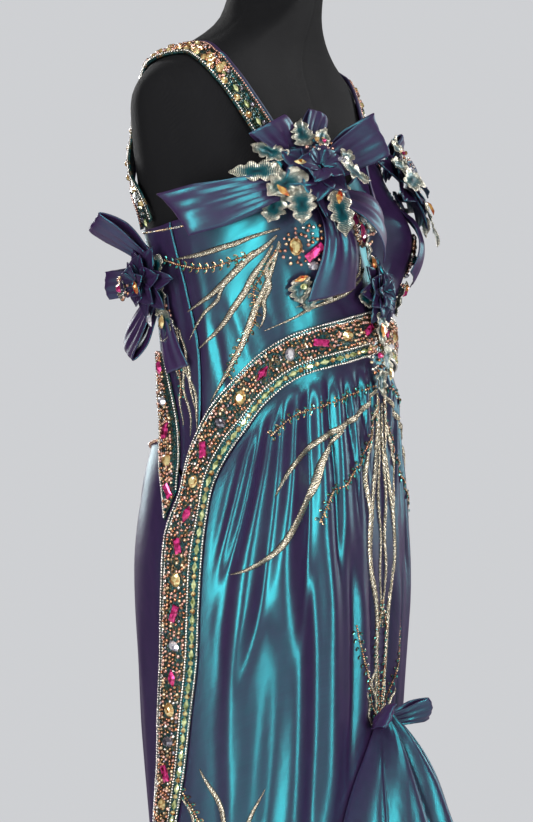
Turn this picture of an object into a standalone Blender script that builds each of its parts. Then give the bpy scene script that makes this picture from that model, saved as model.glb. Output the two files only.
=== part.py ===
"""Mermaid gown of shot taffeta on a limbless dress form.

The gown is a strapped bodice with an open back, a fitted skirt that is folded in under a
beaded waist band, and a gathered flounce from the knee to the floor. Bows, rosettes and
corded sprays lie on it. Metres, +Z up, the wearer faces -Y, and the origin is on the floor
under the middle of the form.

A place on the gown is an angle round the figure in degrees, 0 at the centre front and
positive towards the wearer's right, and a height. A lift is a distance out from the
figure, so the outer face of plain cloth is at lift 0.
"""
import math

import bmesh
import bpy
from mathutils import Vector

CLOTH = 0.0018
RIBBON = 0.0015
BAND = 0.0028
STRAP = 0.0024
STONE_RISE = 0.0022
BAND_CROWN = 0.0008
CORD = 0.0020
CORD_CROWN = 0.0008
SEAM = 0.0004
LAID_ON = 0.0017
KNOT_SEAT = 0.0005
KNOT_DEPTH = 0.0050
FORM_EASE = 0.0050
HEM_HEIGHT = 0.012
HEM_RADIUS = 0.430
CORNER_ANGLE = 89.0
CORNER_HEIGHT = 0.945

# Sections of the figure that the gown is cut for, a row for each height
FIGURE = (
    # height, half_width, centre_y, front_depth, back_depth, squareness
    (0.40, 0.138, 0.000, 0.122, 0.099, 2.10),
    (0.46, 0.140, 0.000, 0.124, 0.101, 2.10),
    (0.56, 0.144, 0.000, 0.129, 0.105, 2.10),
    (0.70, 0.154, 0.000, 0.136, 0.116, 2.10),
    (0.86, 0.167, 0.000, 0.140, 0.122, 2.15),
    (0.95, 0.151, 0.000, 0.138, 0.117, 2.15),
    (1.02, 0.128, 0.000, 0.137, 0.107, 2.15),
    (1.12, 0.134, 0.000, 0.131, 0.107, 2.20),
    (1.215, 0.148, 0.000, 0.112, 0.120, 2.30),
    (1.26, 0.155, 0.003, 0.098, 0.121, 2.40),
    (1.32, 0.170, 0.008, 0.085, 0.112, 2.60),
    (1.36, 0.178, 0.012, 0.075, 0.098, 2.70),
    (1.39, 0.164, 0.014, 0.068, 0.076, 2.60),
    (1.41, 0.128, 0.010, 0.064, 0.068, 2.40),
    (1.43, 0.090, 0.000, 0.060, 0.062, 2.20),
    (1.45, 0.067, -0.008, 0.058, 0.058, 2.05),
    (1.49, 0.057, -0.016, 0.057, 0.057, 2.00),
    (1.56, 0.055, -0.020, 0.056, 0.056, 2.00),
)

# The bust cups, the same on each side
CUP_ACROSS = 0.088
CUP_HEIGHT = 1.212
CUP_REACH = 0.036
CUP_WIDTH = 0.058
CUP_ABOVE = 0.070
CUP_BELOW = 0.052

# Height of the waist seam under the swooping band, from the centre front to the corner
WAIST = (
    # angle, height
    (0.0, 1.110),
    (19.0, 1.101),
    (44.0, 1.086),
    (59.5, 1.063),
    (71.5, 1.032),
    (81.0, 1.002),
    (87.0, 0.972),
    (89.0, 0.955),
)
BACK_WAIST = (
    # angle, height
    (89.0, 0.945),
    (98.0, 0.965),
    (106.0, 0.990),
    (113.0, 0.998),
    (122.0, 0.998),
    (150.0, 0.990),
    (180.0, 0.985),
)
SIDE_BACK_EDGE = (
    # angle, height
    (89.0, 0.958),
    (93.0, 0.962),
    (98.0, 0.974),
    (106.0, 0.998),
    (113.6, 1.030),
    (118.0, 1.058),
    (121.0, 1.090),
)
NECKLINE = (
    # angle, height
    (0.0, 1.265),
    (30.0, 1.295),
    (45.0, 1.288),
    (70.0, 1.240),
    (90.0, 1.222),
    (121.0, 1.216),
)
BODICE_SIDE_SEAM = (
    # height, angle
    (0.955, 90.5),
    (1.040, 91.3),
    (1.099, 91.5),
    (1.149, 95.6),
    (1.225, 100.5),
)
SKIRT_SIDE_SEAM = (
    # height, angle
    (0.400, 132.0),
    (0.450, 125.5),
    (0.490, 119.5),
    (0.545, 111.5),
    (0.601, 105.7),
    (0.657, 100.0),
    (0.713, 96.8),
    (0.768, 93.2),
    (0.822, 91.2),
    (0.866, 90.2),
    (0.909, 89.5),
    (0.945, 89.0),
)
FLOUNCE_SEAM = (
    # angle, height
    (0.0, 0.676),
    (5.0, 0.620),
    (11.0, 0.560),
    (22.0, 0.505),
    (45.0, 0.455),
    (90.0, 0.425),
    (130.0, 0.410),
    (180.0, 0.400),
)
OPEN_BACK_ANGLE = 121.0
WAIST_CROWDING = 1.7
BODICE_CROWDING = 1.3

# Folds of the front skirt on one side, fanning down from under the band
SKIRT_FOLDS = (
    # top_angle, knee_angle, half_width_deg, depth, fades_at
    (4.0, 2.5, 4.5, 0.0040, 0.15),
    (12.0, 6.5, 4.5, 0.0055, 0.15),
    (20.0, 13.0, 4.8, 0.0065, 0.20),
    (28.0, 21.0, 5.0, 0.0070, 0.25),
    (36.0, 34.0, 5.5, 0.0075, 0.35),
    (44.5, 62.0, 6.0, 0.0078, 0.35),
    (54.0, 84.0, 6.0, 0.0070, 0.45),
    (64.0, 98.0, 5.0, 0.0050, 0.60),
)
FOLDS_TUCK = 0.005
FOLDS_START = 0.030
FOLDS_LENGTH = 0.43
FOLDS_EDGE = 80.5
FLOUNCE_WAVES = 16
FLOUNCE_WAVE_DEPTH = 0.034
KNEE_PUFF = 0.034
KNEE_PUFF_DROP = 0.040
KNEE_PUFF_WIDTH = 10.0

# Edges of the swooping band from the centre front down the side to the flounce
WAIST_BAND = (
    # run, front_angle, front_height, back_angle, back_height
    (0.0, 0.25, 1.088, 0.25, 1.132),
    (1.0, 19.6, 1.078, 18.8, 1.125),
    (2.0, 43.6, 1.063, 43.9, 1.110),
    (3.0, 58.6, 1.037, 60.0, 1.090),
    (4.0, 68.4, 1.006, 74.7, 1.058),
    (5.0, 75.4, 0.979, 87.1, 1.026),
    (6.0, 80.2, 0.947, 93.2, 0.990),
    (7.0, 81.7, 0.909, 94.2, 0.945),
    (8.0, 82.4, 0.866, 98.2, 0.905),
    (9.0, 83.4, 0.823, 98.8, 0.850),
    (10.0, 85.0, 0.769, 101.0, 0.780),
    (11.0, 88.7, 0.714, 105.0, 0.716),
    (12.0, 92.3, 0.659, 107.9, 0.658),
    (13.0, 97.7, 0.602, 113.8, 0.600),
    (14.0, 104.0, 0.545, 119.5, 0.542),
    (15.0, 111.5, 0.490, 127.0, 0.487),
    (16.0, 119.0, 0.444, 134.0, 0.441),
)
BAND_FRONT_EDGE = tuple((row[1], row[2]) for row in WAIST_BAND[:8])
# Edges of the band along the open back, from the corner up to the back bow
BACK_BAND = (
    # run, front_angle, front_height, back_angle, back_height
    (0.0, 95.8, 0.945, 99.8, 0.914),
    (1.0, 97.4, 0.975, 104.5, 0.948),
    (2.0, 101.5, 1.003, 114.0, 0.990),
    (3.0, 106.0, 1.032, 120.5, 1.020),
    (4.0, 109.9, 1.058, 124.0, 1.050),
    (5.0, 114.0, 1.090, 122.5, 1.090),
)
# Middle of the right shoulder strap, from the bodice front over to the back corner
STRAP_RUN = (
    # run, angle, height, lift
    (0.0, 53.5, 1.2855, -0.0010),
    (1.0, 57.5, 1.312, -0.0020),
    (2.0, 63.7, 1.346, -0.0045),
    (3.0, 69.7, 1.373, -0.0056),
    (4.0, 77.0, 1.394, -0.0058),
    (5.0, 89.0, 1.407, -0.0056),
    (6.0, 106.0, 1.403, -0.0054),
    (7.0, 123.0, 1.387, -0.0050),
    (8.0, 137.0, 1.358, -0.0044),
    (9.0, 142.0, 1.315, -0.0036),
    (10.0, 131.0, 1.270, -0.0020),
    (10.6, 120.0, 1.245, -0.0014),
    (11.0, 116.4, 1.2215, -0.0010),
)
STRAP_WIDTH = 0.030

# Ribbon loops: a place, a heading from the wearer's right round to up, and the loop's size
LOOPS = (
    # name, angle, height, heading, reach, width, puff, lean, seat
    ("bust_bow_loop_outer", 47.7, 1.262, -15.0, 0.112, 0.046, 0.032, 0.018, 0.0060),
    ("bust_bow_loop_upper", 47.7, 1.262, 58.0, 0.060, 0.026, 0.018, 0.014, 0.0080),
    ("bust_bow_loop_top", 47.7, 1.262, 107.0, 0.066, 0.024, 0.016, 0.010, 0.0080),
    ("bust_bow_loop_inner", 47.7, 1.262, 160.0, 0.104, 0.048, 0.030, 0.036, 0.0050),
    ("far_bow_loop_outer", -47.7, 1.262, 196.0, 0.070, 0.034, 0.020, 0.014, 0.0030),
    ("far_bow_loop_upper", -47.7, 1.262, 118.0, 0.056, 0.024, 0.018, 0.014, 0.0080),
    ("back_bow_right_loop_upper", 113.0, 1.165, 66.0, 0.076, 0.040, 0.026, 0.030, 0.0030),
    ("back_bow_right_loop_side", 113.0, 1.165, 2.0, 0.050, 0.030, 0.022, 0.026, 0.0030),
    ("back_bow_right_loop_lower", 113.0, 1.165, -60.0, 0.084, 0.042, 0.020, 0.014, 0.0030),
    ("back_bow_left_loop_upper", -113.0, 1.165, 114.0, 0.076, 0.040, 0.026, 0.030, 0.0030),
    ("back_bow_left_loop_side", -113.0, 1.165, 178.0, 0.050, 0.030, 0.022, 0.026, 0.0030),
    ("back_bow_left_loop_lower", -113.0, 1.165, 240.0, 0.084, 0.042, 0.020, 0.014, 0.0030),
    ("knee_bow_loop_right", 0.0, 0.692, 32.0, 0.045, 0.027, 0.020, 0.018, 0.0060),
    ("knee_bow_loop_left", 0.0, 0.692, 148.0, 0.045, 0.027, 0.020, 0.018, 0.0060),
)
LOOP_START = 0.017
LOOP_PINCH = 0.40
LOOP_SPREAD = 1.4
# Flat ribbon ends of the bows
TAILS = (
    # name, angle, height, heading, reach, end_width, lean
    ("bust_bow_tail_inner", 47.7, 1.262, 212.0, 0.112, 0.050, 0.030),
    ("bust_bow_tail_lower", 47.7, 1.262, 254.0, 0.118, 0.054, 0.012),
    ("far_bow_tail_lower", -47.7, 1.262, 288.0, 0.095, 0.044, 0.010),
    ("back_bow_right_tail", 113.0, 1.165, -106.0, 0.098, 0.030, 0.008),
    ("back_bow_left_tail", -113.0, 1.165, 286.0, 0.098, 0.030, 0.008),
)
TAIL_START = 0.020
TAIL_ROOT_WIDTH = 0.014
# Rosettes of folded petals that cover the knots
ROSETTES = (
    # name, angle, height, radius, rise
    ("bust_rosette_right", 47.7, 1.262, 0.030, 0.031),
    ("bust_rosette_left", -47.7, 1.262, 0.030, 0.031),
    ("waist_rosette", 0.0, 1.150, 0.026, 0.018),
    ("back_rosette_right", 113.0, 1.165, 0.026, 0.030),
    ("back_rosette_left", -113.0, 1.165, 0.026, 0.030),
)
ROSETTE_PETALS = 6

# Corded leaves of each spray, as a route with its width at each place
SPRAYS = {
    "bodice_spray": (
        # angle, height, width: one leaf to a row of places
        ((64.0, 1.212, 0.006), (76.0, 1.197, 0.009), (88.0, 1.189, 0.007), (100.0, 1.184, 0.002)),
        ((65.5, 1.197, 0.006), (74.0, 1.172, 0.010), (83.0, 1.148, 0.008), (96.0, 1.130, 0.002)),
        ((66.0, 1.181, 0.006), (69.5, 1.154, 0.010), (77.5, 1.118, 0.008), (91.0, 1.092, 0.002)),
        ((61.0, 1.180, 0.006), (64.0, 1.136, 0.010), (73.0, 1.084, 0.008), (86.0, 1.036, 0.002)),
    ),
    "skirt_spray": (
        ((9.5, 1.036, 0.006), (25.5, 1.008, 0.009), (41.0, 0.986, 0.007), (54.5, 0.934, 0.002)),
        ((27.0, 0.988, 0.006), (36.0, 0.955, 0.009), (50.0, 0.888, 0.008), (72.0, 0.853, 0.002)),
        ((3.2, 1.044, 0.006), (9.0, 0.930, 0.008), (7.0, 0.830, 0.008), (3.0, 0.740, 0.002)),
    ),
}
SPRAY_LIFT = 0.0029
SPRAY_END_DIP = 0.0005

# The dress form
TORSO_LOW = 0.690
TORSO_HIGH = 1.560
CAP_RADIUS = 0.050
CAP_HEIGHT = 0.012
POLE_RADIUS = 0.017
BASE_RADIUS = 0.170
BASE_HEIGHT = 0.024

TEAL = ("taffeta", (0.10, 0.30, 0.42), 0.35, 0.15)
BEADED = ("beadwork", (0.34, 0.22, 0.14), 0.35, 0.35)
GOLD = ("gold_cord", (0.62, 0.54, 0.36), 0.35, 0.80)
BLACK = ("form_cover", (0.012, 0.012, 0.014), 0.80, 0.0)
IRON = ("stand_paint", (0.02, 0.02, 0.022), 0.45, 0.0)

GROUP = "mermaid_gown"


def between(rows, at):
    """Smooth values of a table at a value of its first column."""
    last = len(rows) - 1
    at = min(max(at, rows[0][0]), rows[last][0])
    low = max(i for i in range(last) if rows[i][0] <= at)
    span = rows[low + 1][0] - rows[low][0]
    part = (at - rows[low][0]) / span

    def slope(row, column):
        if row in (0, last):
            return 0.0
        rise = rows[row + 1][column] - rows[row - 1][column]
        return rise / (rows[row + 1][0] - rows[row - 1][0])

    values = []
    for column in range(1, len(rows[0])):
        start, end = rows[low][column], rows[low + 1][column]
        pull_in, pull_out = slope(low, column) * span, slope(low + 1, column) * span
        values.append(
            (2 * part**3 - 3 * part**2 + 1) * start
            + (part**3 - 2 * part**2 + part) * pull_in
            + (3 * part**2 - 2 * part**3) * end
            + (part**3 - part**2) * pull_out
        )
    return values if len(values) > 1 else values[0]


def mix(low, high, part):
    return low + (high - low) * part


def cup(across, height):
    spread = CUP_ABOVE if height > CUP_HEIGHT else CUP_BELOW
    up = (height - CUP_HEIGHT) / spread
    side = (abs(across) - CUP_ACROSS) / CUP_WIDTH
    return CUP_REACH * math.exp(-side * side - up * up)


def figure_point(angle, height):
    """Place on the figure's smooth surface."""
    half_width, centre, front, back, square = between(FIGURE, height)
    turn = math.radians(angle)
    side, ahead = abs(math.sin(turn)), math.cos(turn)
    depth = front if ahead > 0 else back
    reach = ((side / half_width) ** square + (abs(ahead) / depth) ** square) ** (-1 / square)
    x = -reach * math.sin(turn)
    y = centre - reach * ahead
    if ahead > 0:
        y -= cup(x, height) * min(1.0, 2.5 * ahead)
    return Vector((x, y, height))


def figure_normal(angle, height):
    around = figure_point(angle + 1.0, height) - figure_point(angle - 1.0, height)
    upward = figure_point(angle, height + 0.003) - figure_point(angle, height - 0.003)
    return upward.cross(around).normalized()


def over(angle, height, lift):
    """Place that stands off the figure by a lift."""
    return figure_point(angle, height) + figure_normal(angle, height) * lift


def material(finish):
    name, colour, roughness, metallic = finish
    made = bpy.data.materials.get(name) or bpy.data.materials.new(name)
    made.use_nodes = True
    shader = made.node_tree.nodes["Principled BSDF"]
    shader.inputs["Base Color"].default_value = (*colour, 1.0)
    shader.inputs["Roughness"].default_value = roughness
    shader.inputs["Metallic"].default_value = metallic
    return made


def keep(mesh_maker, name, finish):
    """Close a bmesh into a named object with its own material; short diagonals fit curves best."""
    bmesh.ops.triangulate(mesh_maker, faces=mesh_maker.faces, quad_method="SHORT_EDGE")
    bmesh.ops.recalc_face_normals(mesh_maker, faces=mesh_maker.faces)
    if mesh_maker.calc_volume(signed=True) < 0.0:
        bmesh.ops.reverse_faces(mesh_maker, faces=mesh_maker.faces)
    mesh = bpy.data.meshes.new(name)
    mesh_maker.to_mesh(mesh)
    mesh_maker.free()
    made = bpy.data.objects.new(name, mesh)
    own = material(finish).copy()
    own.name = name + "_" + finish[0]
    mesh.materials.append(own)
    mesh.shade_smooth()
    mesh.set_sharp_from_angle(angle=math.radians(40))
    bpy.data.collections[GROUP].objects.link(made)
    return made


def cloth_wall(name, columns, rows, place, finish):
    """Drape a flat two-ply blank: place(s, t, ply) gives each point, ply 0 inside, 1 outside."""
    blank = bmesh.new()
    bmesh.ops.create_grid(blank, x_segments=columns, y_segments=rows, size=0.5)
    ply = bmesh.ops.extrude_face_region(blank, geom=blank.faces[:], use_keep_orig=True)
    for vert in ply["geom"]:
        if isinstance(vert, bmesh.types.BMVert):
            vert.co.z = 1.0
    for vert in blank.verts:
        vert.co = place(vert.co.x + 0.5, vert.co.y + 0.5, round(vert.co.z))
    return keep(blank, name, finish)


def panel(name, columns, rows, spot, finish=TEAL, wall=CLOTH, inside=-CLOTH, relief=None):
    """Cloth on the figure: spot(s, t) gives an angle and a height."""
    def place(s, t, ply):
        angle, height = spot(s, t)
        lift = inside + ply * wall
        if relief:
            lift += relief(s, t, angle, height, ply)
        return over(angle, height, lift)

    return cloth_wall(name, columns, rows, place, finish)


def bodice_spot(s, t):
    """Spot on the right half of the bodice: s is 0 centre front, 1 side seam, 2 open back.

    The rows stand closer towards the waist, where the figure is hollow.
    """
    if s <= 1.0:
        angle = CORNER_ANGLE * s
        low = between(WAIST, angle) + 2 * SEAM
        hold = s
    else:
        angle = mix(CORNER_ANGLE, OPEN_BACK_ANGLE, s - 1.0)
        low = between(SIDE_BACK_EDGE, angle)
        hold = 2.0 - s
    high = between(NECKLINE, angle)
    height = mix(low, high, t**BODICE_CROWDING)
    angle += (between(BODICE_SIDE_SEAM, height) - CORNER_ANGLE) * hold
    return angle, height


def build_bodice():
    def front(s, t):
        half = 2.0 * s - 1.0
        angle, height = bodice_spot(abs(half), t)
        shy = 1.0 - SEAM / 0.15 * abs(half)
        return math.copysign(angle * shy, half), height

    panel("bodice_front", 28, 11, front)
    for side, sign in (("right", 1.0), ("left", -1.0)):
        def side_back(s, t, sign=sign):
            angle, height = bodice_spot(mix(1.0 + SEAM / 0.06, 2.0, s), t)
            return sign * angle, height

        panel("bodice_side_" + side, 5, 11, side_back)


def skirt_front_spot(s, t):
    """Spot on the right half of the front skirt: t is 0 at the flounce seam, 1 at the waist."""
    top = between(WAIST, CORNER_ANGLE * s) - 2 * SEAM
    if s > 0.97:
        top = mix(top, CORNER_HEIGHT, (s - 0.97) / 0.03)
    low_angle = between(SKIRT_SIDE_SEAM, 0.450) * s
    low = between(FLOUNCE_SEAM, low_angle)
    height = mix(top, low, (1.0 - t)**WAIST_CROWDING)
    side = between(SKIRT_SIDE_SEAM, min(height, CORNER_HEIGHT))
    return side * s, height


def skirt_back_spot(s, t):
    """Spot on the right half of the back skirt: s is 0 at the side seam, 1 at the back."""
    top_angle = mix(CORNER_ANGLE, 180.0, s)
    top = between(BACK_WAIST, top_angle)
    low_side = between(SKIRT_SIDE_SEAM, 0.450)
    low = between(FLOUNCE_SEAM, mix(low_side, 180.0, s))
    height = mix(top, low, (1.0 - t)**WAIST_CROWDING)
    side = between(SKIRT_SIDE_SEAM, min(height, CORNER_HEIGHT))
    return mix(side, 180.0, s), height


def skirt_fold(angle, height):
    """How far the folds stand out at a spot of the front skirt."""
    waist = between(WAIST, min(abs(angle), CORNER_ANGLE))
    edge = between(BAND_FRONT_EDGE, abs(angle)) - FOLDS_TUCK
    if height > edge or abs(angle) > FOLDS_EDGE:
        return 0.0
    part = (waist - height) / FOLDS_LENGTH
    rise = min(1.0, (edge - height) / FOLDS_START) * min(1.0, (FOLDS_EDGE - abs(angle)) / 8.0)
    total = 0.0
    for top_angle, knee_angle, half_width, depth, fades_at in SKIRT_FOLDS:
        middle = mix(top_angle, knee_angle, min(part, 1.2))
        off = (abs(angle) - middle) / (half_width * (1.0 + 0.7 * part))
        if abs(off) < 1.0:
            fade = 1.0 if part < fades_at else max(0.25, 1.0 - (part - fades_at))
            total += depth * fade * 0.5 * (1.0 + math.cos(math.pi * off))
    return total * rise * rise * (3.0 - 2.0 * rise)


def build_skirt():
    def front(s, t):
        half = 2.0 * s - 1.0
        angle, height = skirt_front_spot(abs(half), t)
        shy = 1.0 - SEAM / 0.25 * abs(half)
        return math.copysign(angle * shy, half), height

    def folds(s, t, angle, height, ply):
        return skirt_fold(angle, height)

    panel("skirt_front", 48, 11, front, relief=folds)
    for side, sign in (("right", 1.0), ("left", -1.0)):
        def back(s, t, sign=sign):
            angle, height = skirt_back_spot(mix(SEAM / 0.25, 1.0 - SEAM / 0.25, s), t)
            return sign * angle, height

        panel("skirt_back_" + side, 8, 11, back)


def flounce_point(s, t, lift):
    """Place on the right half of the flounce: s is 0 centre front to 2 centre back, t 1 at the seam."""
    if s <= 1.0:
        angle, seam = skirt_front_spot(s, 0.0)
    else:
        angle, seam = skirt_back_spot(s - 1.0, 0.0)
    top = over(angle, seam - 3 * SEAM, -CLOTH)
    spread = s / 2.0 * 180.0
    down = (1.0 - t)**1.6
    turn = math.radians(mix(angle, spread, min(1.0, 1.6 * down)))
    wave = math.cos(math.radians(spread) * FLOUNCE_WAVES)
    head = down / KNEE_PUFF_DROP
    radius = mix(top.xy.length, HEM_RADIUS, down**0.85)
    radius += KNEE_PUFF * head * math.exp(1.0 - head - (spread / KNEE_PUFF_WIDTH)**2)
    radius += FLOUNCE_WAVE_DEPTH * wave * down**0.8 + lift
    height = mix(top.z, HEM_HEIGHT, down)
    return Vector((-radius * math.sin(turn), -radius * math.cos(turn), height))


def build_flounce():
    split = 1.0
    for name, start, end in (("flounce_front", -split, split), ("flounce_back", split, 4.0 - split)):
        trim = SEAM / 0.3

        def place(s, t, ply, start=start, end=end, trim=trim):
            run = mix(start + trim, end - trim, s)
            sign = 1.0
            if run < 0.0:
                run, sign = -run, -1.0
            if run > 2.0:
                run, sign = 4.0 - run, -1.0
            point = flounce_point(run, t, ply * CLOTH)
            return Vector((point.x * sign, point.y, point.z))

        cloth_wall(name, 48, 6, place, TEAL)


def band_wall(name, table, sign, rows):
    """Beaded band laid on the gown, with a row of large stones raised along its middle."""
    runs = table[-1][0]

    def spot(s, t):
        front_angle, front_height, back_angle, back_height = between(table, runs * (1.0 - t))
        return sign * mix(front_angle, back_angle, s), mix(front_height, back_height, s)

    def relief(s, t, angle, height, ply):
        middle = 1.0 - abs(2.0 * s - 1.0)
        stone = STONE_RISE if round(t * rows) % 2 == 1 else 0.0
        return ply * middle * (BAND_CROWN + stone)

    return panel(name, 2, rows, spot, BEADED, BAND, LAID_ON, relief)


def build_bands():
    for side, sign in (("right", 1.0), ("left", -1.0)):
        band_wall("waist_band_" + side, WAIST_BAND, sign, 44)
        band_wall("back_band_" + side, BACK_BAND, sign, 9)


def build_straps():
    runs = STRAP_RUN[-1][0]

    def middle(run):
        angle, height, lift = between(STRAP_RUN, run)
        return over(angle, height, lift), figure_normal(angle, height)

    for side, sign in (("right", 1.0), ("left", -1.0)):
        def place(s, t, ply, sign=sign):
            run = runs * t
            point, out = middle(run)
            ahead = middle(min(run + 0.05, runs))[0] - middle(max(run - 0.05, 0.0))[0]
            across = ahead.cross(out).normalized()
            crown = 0.0010 * (1.0 - abs(2.0 * s - 1.0)) * ply
            point = point + across * STRAP_WIDTH * (s - 0.5) + out * (ply * STRAP + crown)
            return Vector((point.x * sign, point.y, point.z))

        cloth_wall("strap_" + side, 2, 20, place, BEADED)


def fold_near(angle, height):
    """The highest fold of the skirt about a spot, for what lies across it."""
    if height > WAIST_BAND[0][2]:
        return 0.0
    return max(skirt_fold(angle + slip, height) for slip in (-2.5, -1.2, 0.0, 1.2, 2.5))


def near(angle, height, aside, up, lift):
    """Place that lies aside and up, along the gown, from a knot on it."""
    at = height + up
    around = figure_point(angle, at).xy.length
    angle += math.degrees(aside / around)
    return over(angle, at, lift + fold_near(angle, at))


def ribbon(name, knot, heading, along, columns, rows):
    """Ribbon from a knot: along(t) gives its run, lift and width; it thickens inwards."""
    angle, height = knot
    turn = math.radians(heading)

    def surface(s, t):
        run, lift, width = along(t)
        across = width * (s - 0.5)
        aside = run * math.cos(turn) + across * math.sin(turn)
        up = run * math.sin(turn) - across * math.cos(turn)
        return near(angle, height, aside, up, lift)

    def place(s, t, ply):
        point = surface(s, t)
        if ply == 0:
            return point
        step = 0.01
        down_run = surface(s, min(t + step, 1.0)) - surface(s, max(t - step, 0.0))
        over_run = surface(min(s + step, 1.0), t) - surface(max(s - step, 0.0), t)
        return point + down_run.cross(over_run).normalized() * RIBBON

    return cloth_wall(name, columns, rows, place, TEAL)


def build_bows():
    for name, angle, height, heading, reach, width, puff, lean, seat in LOOPS:
        def loop(t, reach=reach, width=width, puff=puff, lean=lean, seat=seat):
            out = math.sin(math.pi * t)**0.75
            top = 0.5 * (1.0 - math.cos(math.pi * t))
            lift = mix(KNOT_SEAT, seat, min(1.0, 0.06 + 2.5 * out))
            lift += lean * out**1.6 + (KNOT_DEPTH + puff * out**1.3) * top
            spread = mix(LOOP_PINCH, 1.0, min(1.0, LOOP_SPREAD * out))
            return mix(LOOP_START, reach, out), lift, width * spread

        ribbon(name, (angle, height), heading, loop, 2, 12)
    for name, angle, height, heading, reach, end_width, lean in TAILS:
        def tail(t, reach=reach, wide=end_width, lean=lean):
            lift = mix(KNOT_SEAT, 0.0040, min(1.0, 4.0 * t)) + lean * math.sin(math.pi * 0.62 * t)**1.5
            return mix(TAIL_START, reach, t), lift, mix(TAIL_ROOT_WIDTH, wide, t**0.8)

        ribbon(name, (angle, height), heading, tail, 3, 6)


def rosette(name, angle, height, radius, rise):
    """Lobed boss of folded petals over a knot, narrow where it is sewn down."""
    rings = (
        # reach, lift, lobing
        (0.30, 0.0, 0.0),
        (0.30, 0.55, 0.0),
        (1.00, 0.78, 0.22),
        (0.92, 0.98, 0.26),
        (0.42, 0.80, 0.10),
        (0.20, 1.05, 0.0),
    )
    around = 3 * ROSETTE_PETALS
    seat = 0.0008
    made = bmesh.new()
    loops = []
    for reach, lift, lobing in rings:
        verts = []
        for step in range(around):
            turn = 2.0 * math.pi * step / around
            lobe = 1.0 + lobing * (abs(math.cos(ROSETTE_PETALS * turn / 2.0)) - 0.6)
            out = radius * reach * lobe
            verts.append(made.verts.new(near(
                angle, height, out * math.cos(turn), out * math.sin(turn), seat + rise * lift)))
        edges = [made.edges.new((verts[i], verts[i - 1])) for i in range(around)]
        loops.append((verts, edges))
    for low, high in zip(loops, loops[1:]):
        bmesh.ops.bridge_loops(made, edges=low[1] + high[1])
    made.faces.new(loops[0][0])
    made.faces.new(loops[-1][0])
    return keep(made, name, TEAL)


def build_rosettes():
    for row in ROSETTES:
        rosette(*row)


def corded_leaf(name, route, sign):
    """Tapering padded cord laid along a route on the gown."""
    rows = [(float(i), *place) for i, place in enumerate(route)]
    runs = rows[-1][0]

    def spot(s, t):
        angle, height, width = between(rows, runs * t)
        ahead = between(rows, min(runs * t + 0.05, runs))
        behind = between(rows, max(runs * t - 0.05, 0.0))
        around = figure_point(angle, height).xy.length
        run_across = math.radians(ahead[0] - behind[0]) * around
        run_up = ahead[1] - behind[1]
        length = math.hypot(run_across, run_up)
        side = width * (s - 0.5)
        angle += math.degrees(side * run_up / length / around)
        height -= side * run_across / length
        return sign * angle, height

    def relief(s, t, angle, height, ply):
        end = (2.0 * t - 1.0)**6
        base = fold_near(angle, height) - SPRAY_END_DIP * end
        return base + ply * CORD_CROWN * (1.0 - abs(2.0 * s - 1.0))

    return panel(name, 2, 9, spot, GOLD, CORD, SPRAY_LIFT - CORD, relief)


def build_sprays():
    for spray, leaves in SPRAYS.items():
        for side, sign in (("right", 1.0), ("left", -1.0)):
            for number, route in enumerate(leaves, start=1):
                corded_leaf(f"{spray}_{side}_{number}", route, sign)


def lathe(name, profile, steps, finish):
    """Solid turned round the upright axis from a profile of radius and height, top to bottom."""
    mesh = bpy.data.meshes.new(name)
    verts = [(radius, 0.0, height) for radius, height in profile]
    mesh.from_pydata(verts, [(i, i + 1) for i in range(len(verts) - 1)], [])
    made = bpy.data.objects.new(name, mesh)
    bpy.data.collections[GROUP].objects.link(made)
    screw = made.modifiers.new("turn", "SCREW")
    screw.steps = steps
    screw.render_steps = steps
    screw.use_merge_vertices = True
    screw.merge_threshold = 0.00005
    own = material(finish).copy()
    own.name = name + "_" + finish[0]
    mesh.materials.append(own)
    return made


def torso_levels():
    """Heights of the torso's rings: those of the figure's sections, and one between far ones."""
    levels = [row[0] for row in FIGURE if row[0] > TORSO_LOW]
    between_far = [mix(low, high, 0.5) for low, high in zip(levels, levels[1:]) if high - low > 0.05]
    return sorted([TORSO_LOW] + levels + between_far)


def build_form():
    """Limbless torso, neck cap, pole and round foot."""
    around = 28
    made = bmesh.new()
    loops = []
    for height in torso_levels():
        verts = []
        for step in range(around):
            angle = 360.0 * step / around
            verts.append(made.verts.new(over(angle, height, -CLOTH - FORM_EASE)))
        edges = [made.edges.new((verts[i], verts[i - 1])) for i in range(around)]
        loops.append((verts, edges))
    for low, high in zip(loops, loops[1:]):
        bmesh.ops.bridge_loops(made, edges=low[1] + high[1])
    made.faces.new(loops[0][0])
    made.faces.new(loops[-1][0])
    keep(made, "form_torso", BLACK)

    neck = between(FIGURE, TORSO_HIGH)[1]
    cap = lathe("form_neck_cap", (
        (0.0, CAP_HEIGHT), (CAP_RADIUS * 0.7, CAP_HEIGHT), (CAP_RADIUS, CAP_HEIGHT * 0.35),
        (CAP_RADIUS, 0.0), (0.0, 0.0)), 16, IRON)
    cap.location = (0.0, neck, TORSO_HIGH + SEAM)
    lathe("form_pole", (
        (0.0, TORSO_LOW - SEAM), (POLE_RADIUS, TORSO_LOW - SEAM),
        (POLE_RADIUS, BASE_HEIGHT + SEAM), (0.0, BASE_HEIGHT + SEAM)), 14, IRON)
    lathe("form_base", (
        (0.0, BASE_HEIGHT), (BASE_RADIUS * 0.35, BASE_HEIGHT), (BASE_RADIUS * 0.95, BASE_HEIGHT * 0.5),
        (BASE_RADIUS, BASE_HEIGHT * 0.35), (BASE_RADIUS, 0.0), (0.0, 0.0)), 28, IRON)


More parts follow.
